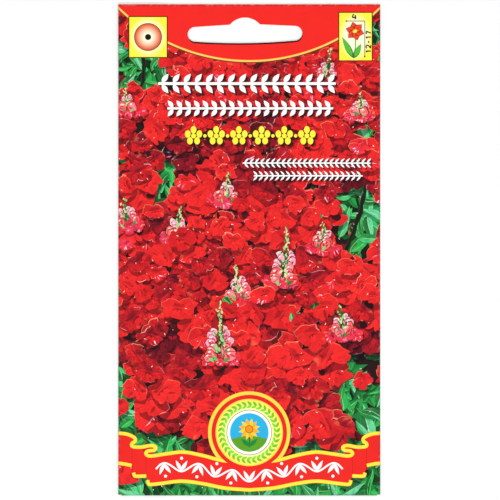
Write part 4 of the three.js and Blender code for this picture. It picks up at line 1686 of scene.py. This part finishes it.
class SEEDPACKET_OT_stage(bpy.types.Operator):
    """Lay the packet on a pale table under soft lamps, with the camera straight above it"""

    bl_idname = "seed_packet.stage"
    bl_label = "Table, Lamps and Camera"

    def execute(self, context):
        settings = context.scene.seed_packet.stage
        self.add_floor(settings)
        self.add_room_light(context, settings)
        self.add_lamps(settings)
        self.add_camera(context, settings)
        context.scene.view_settings.view_transform = "Standard"
        return {"FINISHED"}

    def add_floor(self, settings):
        """A plain table, far wider than the packet."""
        half = 3.0
        mesh = bpy.data.meshes.new("table")
        corners = ((-half, -half, 0), (half, -half, 0), (half, half, 0), (-half, half, 0))
        mesh.from_pydata(corners, [], [(0, 1, 2, 3)])
        material, tree, shader = new_material("Pale table")
        colour = (*linear(settings.floor), 1)
        tree.feed(shader, {"Base Color": colour, "Roughness": 0.9, "Specular IOR Level": 0.1})
        mesh.materials.append(material)
        floor = placed("table", mesh)

    def add_room_light(self, context, settings):
        """White light from all round."""
        world = bpy.data.worlds.new("Room")
        world.use_nodes = True
        background = world.node_tree.nodes["Background"]
        feeds = {"Color": (1, 1, 1, 1), "Strength": settings.room_light}
        NodeTree(world.node_tree).feed(background, feeds)
        context.scene.world = world

    def add_lamps(self, settings):
        """Four soft lamps, each turned to the packet, with its share of the power and its size."""
        places = ((0, -1.0, 0.95), (-1.0, 0.1, 0.9), (1.0, 0.1, 0.9), (0, 1.0, 0.9))
        shares = (1.6, 0.7, 0.7, 0.35)
        sizes = (0.35, 0.5, 0.5, 0.5)
        for number, (place, share, size) in enumerate(zip(places, shares, sizes)):
            light = bpy.data.lights.new(f"lamp_{number}", "AREA")
            light.energy = settings.lamp_power * share
            light.size = size
            lamp = placed(f"lamp_{number}", light)
            lamp.location = place
            lamp.rotation_euler = Vector(place).to_track_quat("Z", "Y").to_euler()

    def add_camera(self, context, settings):
        """A long lens, which looks straight down."""
        data = bpy.data.cameras.new("camera")
        data.lens, data.sensor_width = settings.lens, 36
        data.clip_start, data.clip_end = 0.01, 10
        camera = placed("camera", data)
        beside_middle = (0.00023, -0.00003)
        camera.location = (*beside_middle, settings.camera_height)
        context.scene.camera = camera


class SeedPacketSettings(bpy.types.PropertyGroup):
    """Everything that a user would change."""

    sheet: PointerProperty(type=SheetSizes, name="Sheet", description="Sizes of the folded sheet")
    slot: PointerProperty(type=SlotSizes, name="Slot", description="Sizes of the hanging slot")
    picture: PointerProperty(type=PictureInks, name="Picture", description="Inks of the flower picture")
    panels: PointerProperty(type=PanelInks, name="Panels", description="Inks of the printed panels")
    stage: PointerProperty(type=StageSettings, name="Stage", description="Table, lamps and camera")


PIECES = (
    SEEDPACKET_OT_printed_packet,
    SEEDPACKET_OT_glue_films,
    SEEDPACKET_OT_seed_pouch,
    SEEDPACKET_OT_seeds,
    SEEDPACKET_OT_stage,
)


class SEEDPACKET_PT_sidebar(bpy.types.Panel):
    """The packet's pieces, sizes and inks"""

    bl_idname = "SEEDPACKET_PT_sidebar"
    bl_label = "Seed Packet"
    bl_space_type = "VIEW_3D"
    bl_region_type = "UI"
    bl_category = "Seed Packet"

    def draw(self, context):
        for piece in PIECES:
            self.layout.operator(piece.bl_idname)
        settings = context.scene.seed_packet
        for group in (settings.sheet, settings.slot, settings.picture, settings.panels, settings.stage):
            box = self.layout.box()
            for name in type(group).__annotations__:
                box.prop(group, name)


GROUPS = (SheetSizes, SlotSizes, PictureInks, PanelInks, StageSettings, SeedPacketSettings)
CLASSES = (*GROUPS, *PIECES, SEEDPACKET_PT_sidebar)


def register():
    for each in CLASSES:
        bpy.utils.register_class(each)
    bpy.types.Scene.seed_packet = PointerProperty(type=SeedPacketSettings)


def unregister():
    del bpy.types.Scene.seed_packet
    for each in reversed(CLASSES):
        bpy.utils.unregister_class(each)


def main():
    register()
    bpy.ops.seed_packet.printed_packet()
    bpy.ops.seed_packet.glue_films()
    bpy.ops.seed_packet.seed_pouch()
    bpy.ops.seed_packet.seeds()
    bpy.ops.seed_packet.stage()


if __name__ == "__main__":
    main()
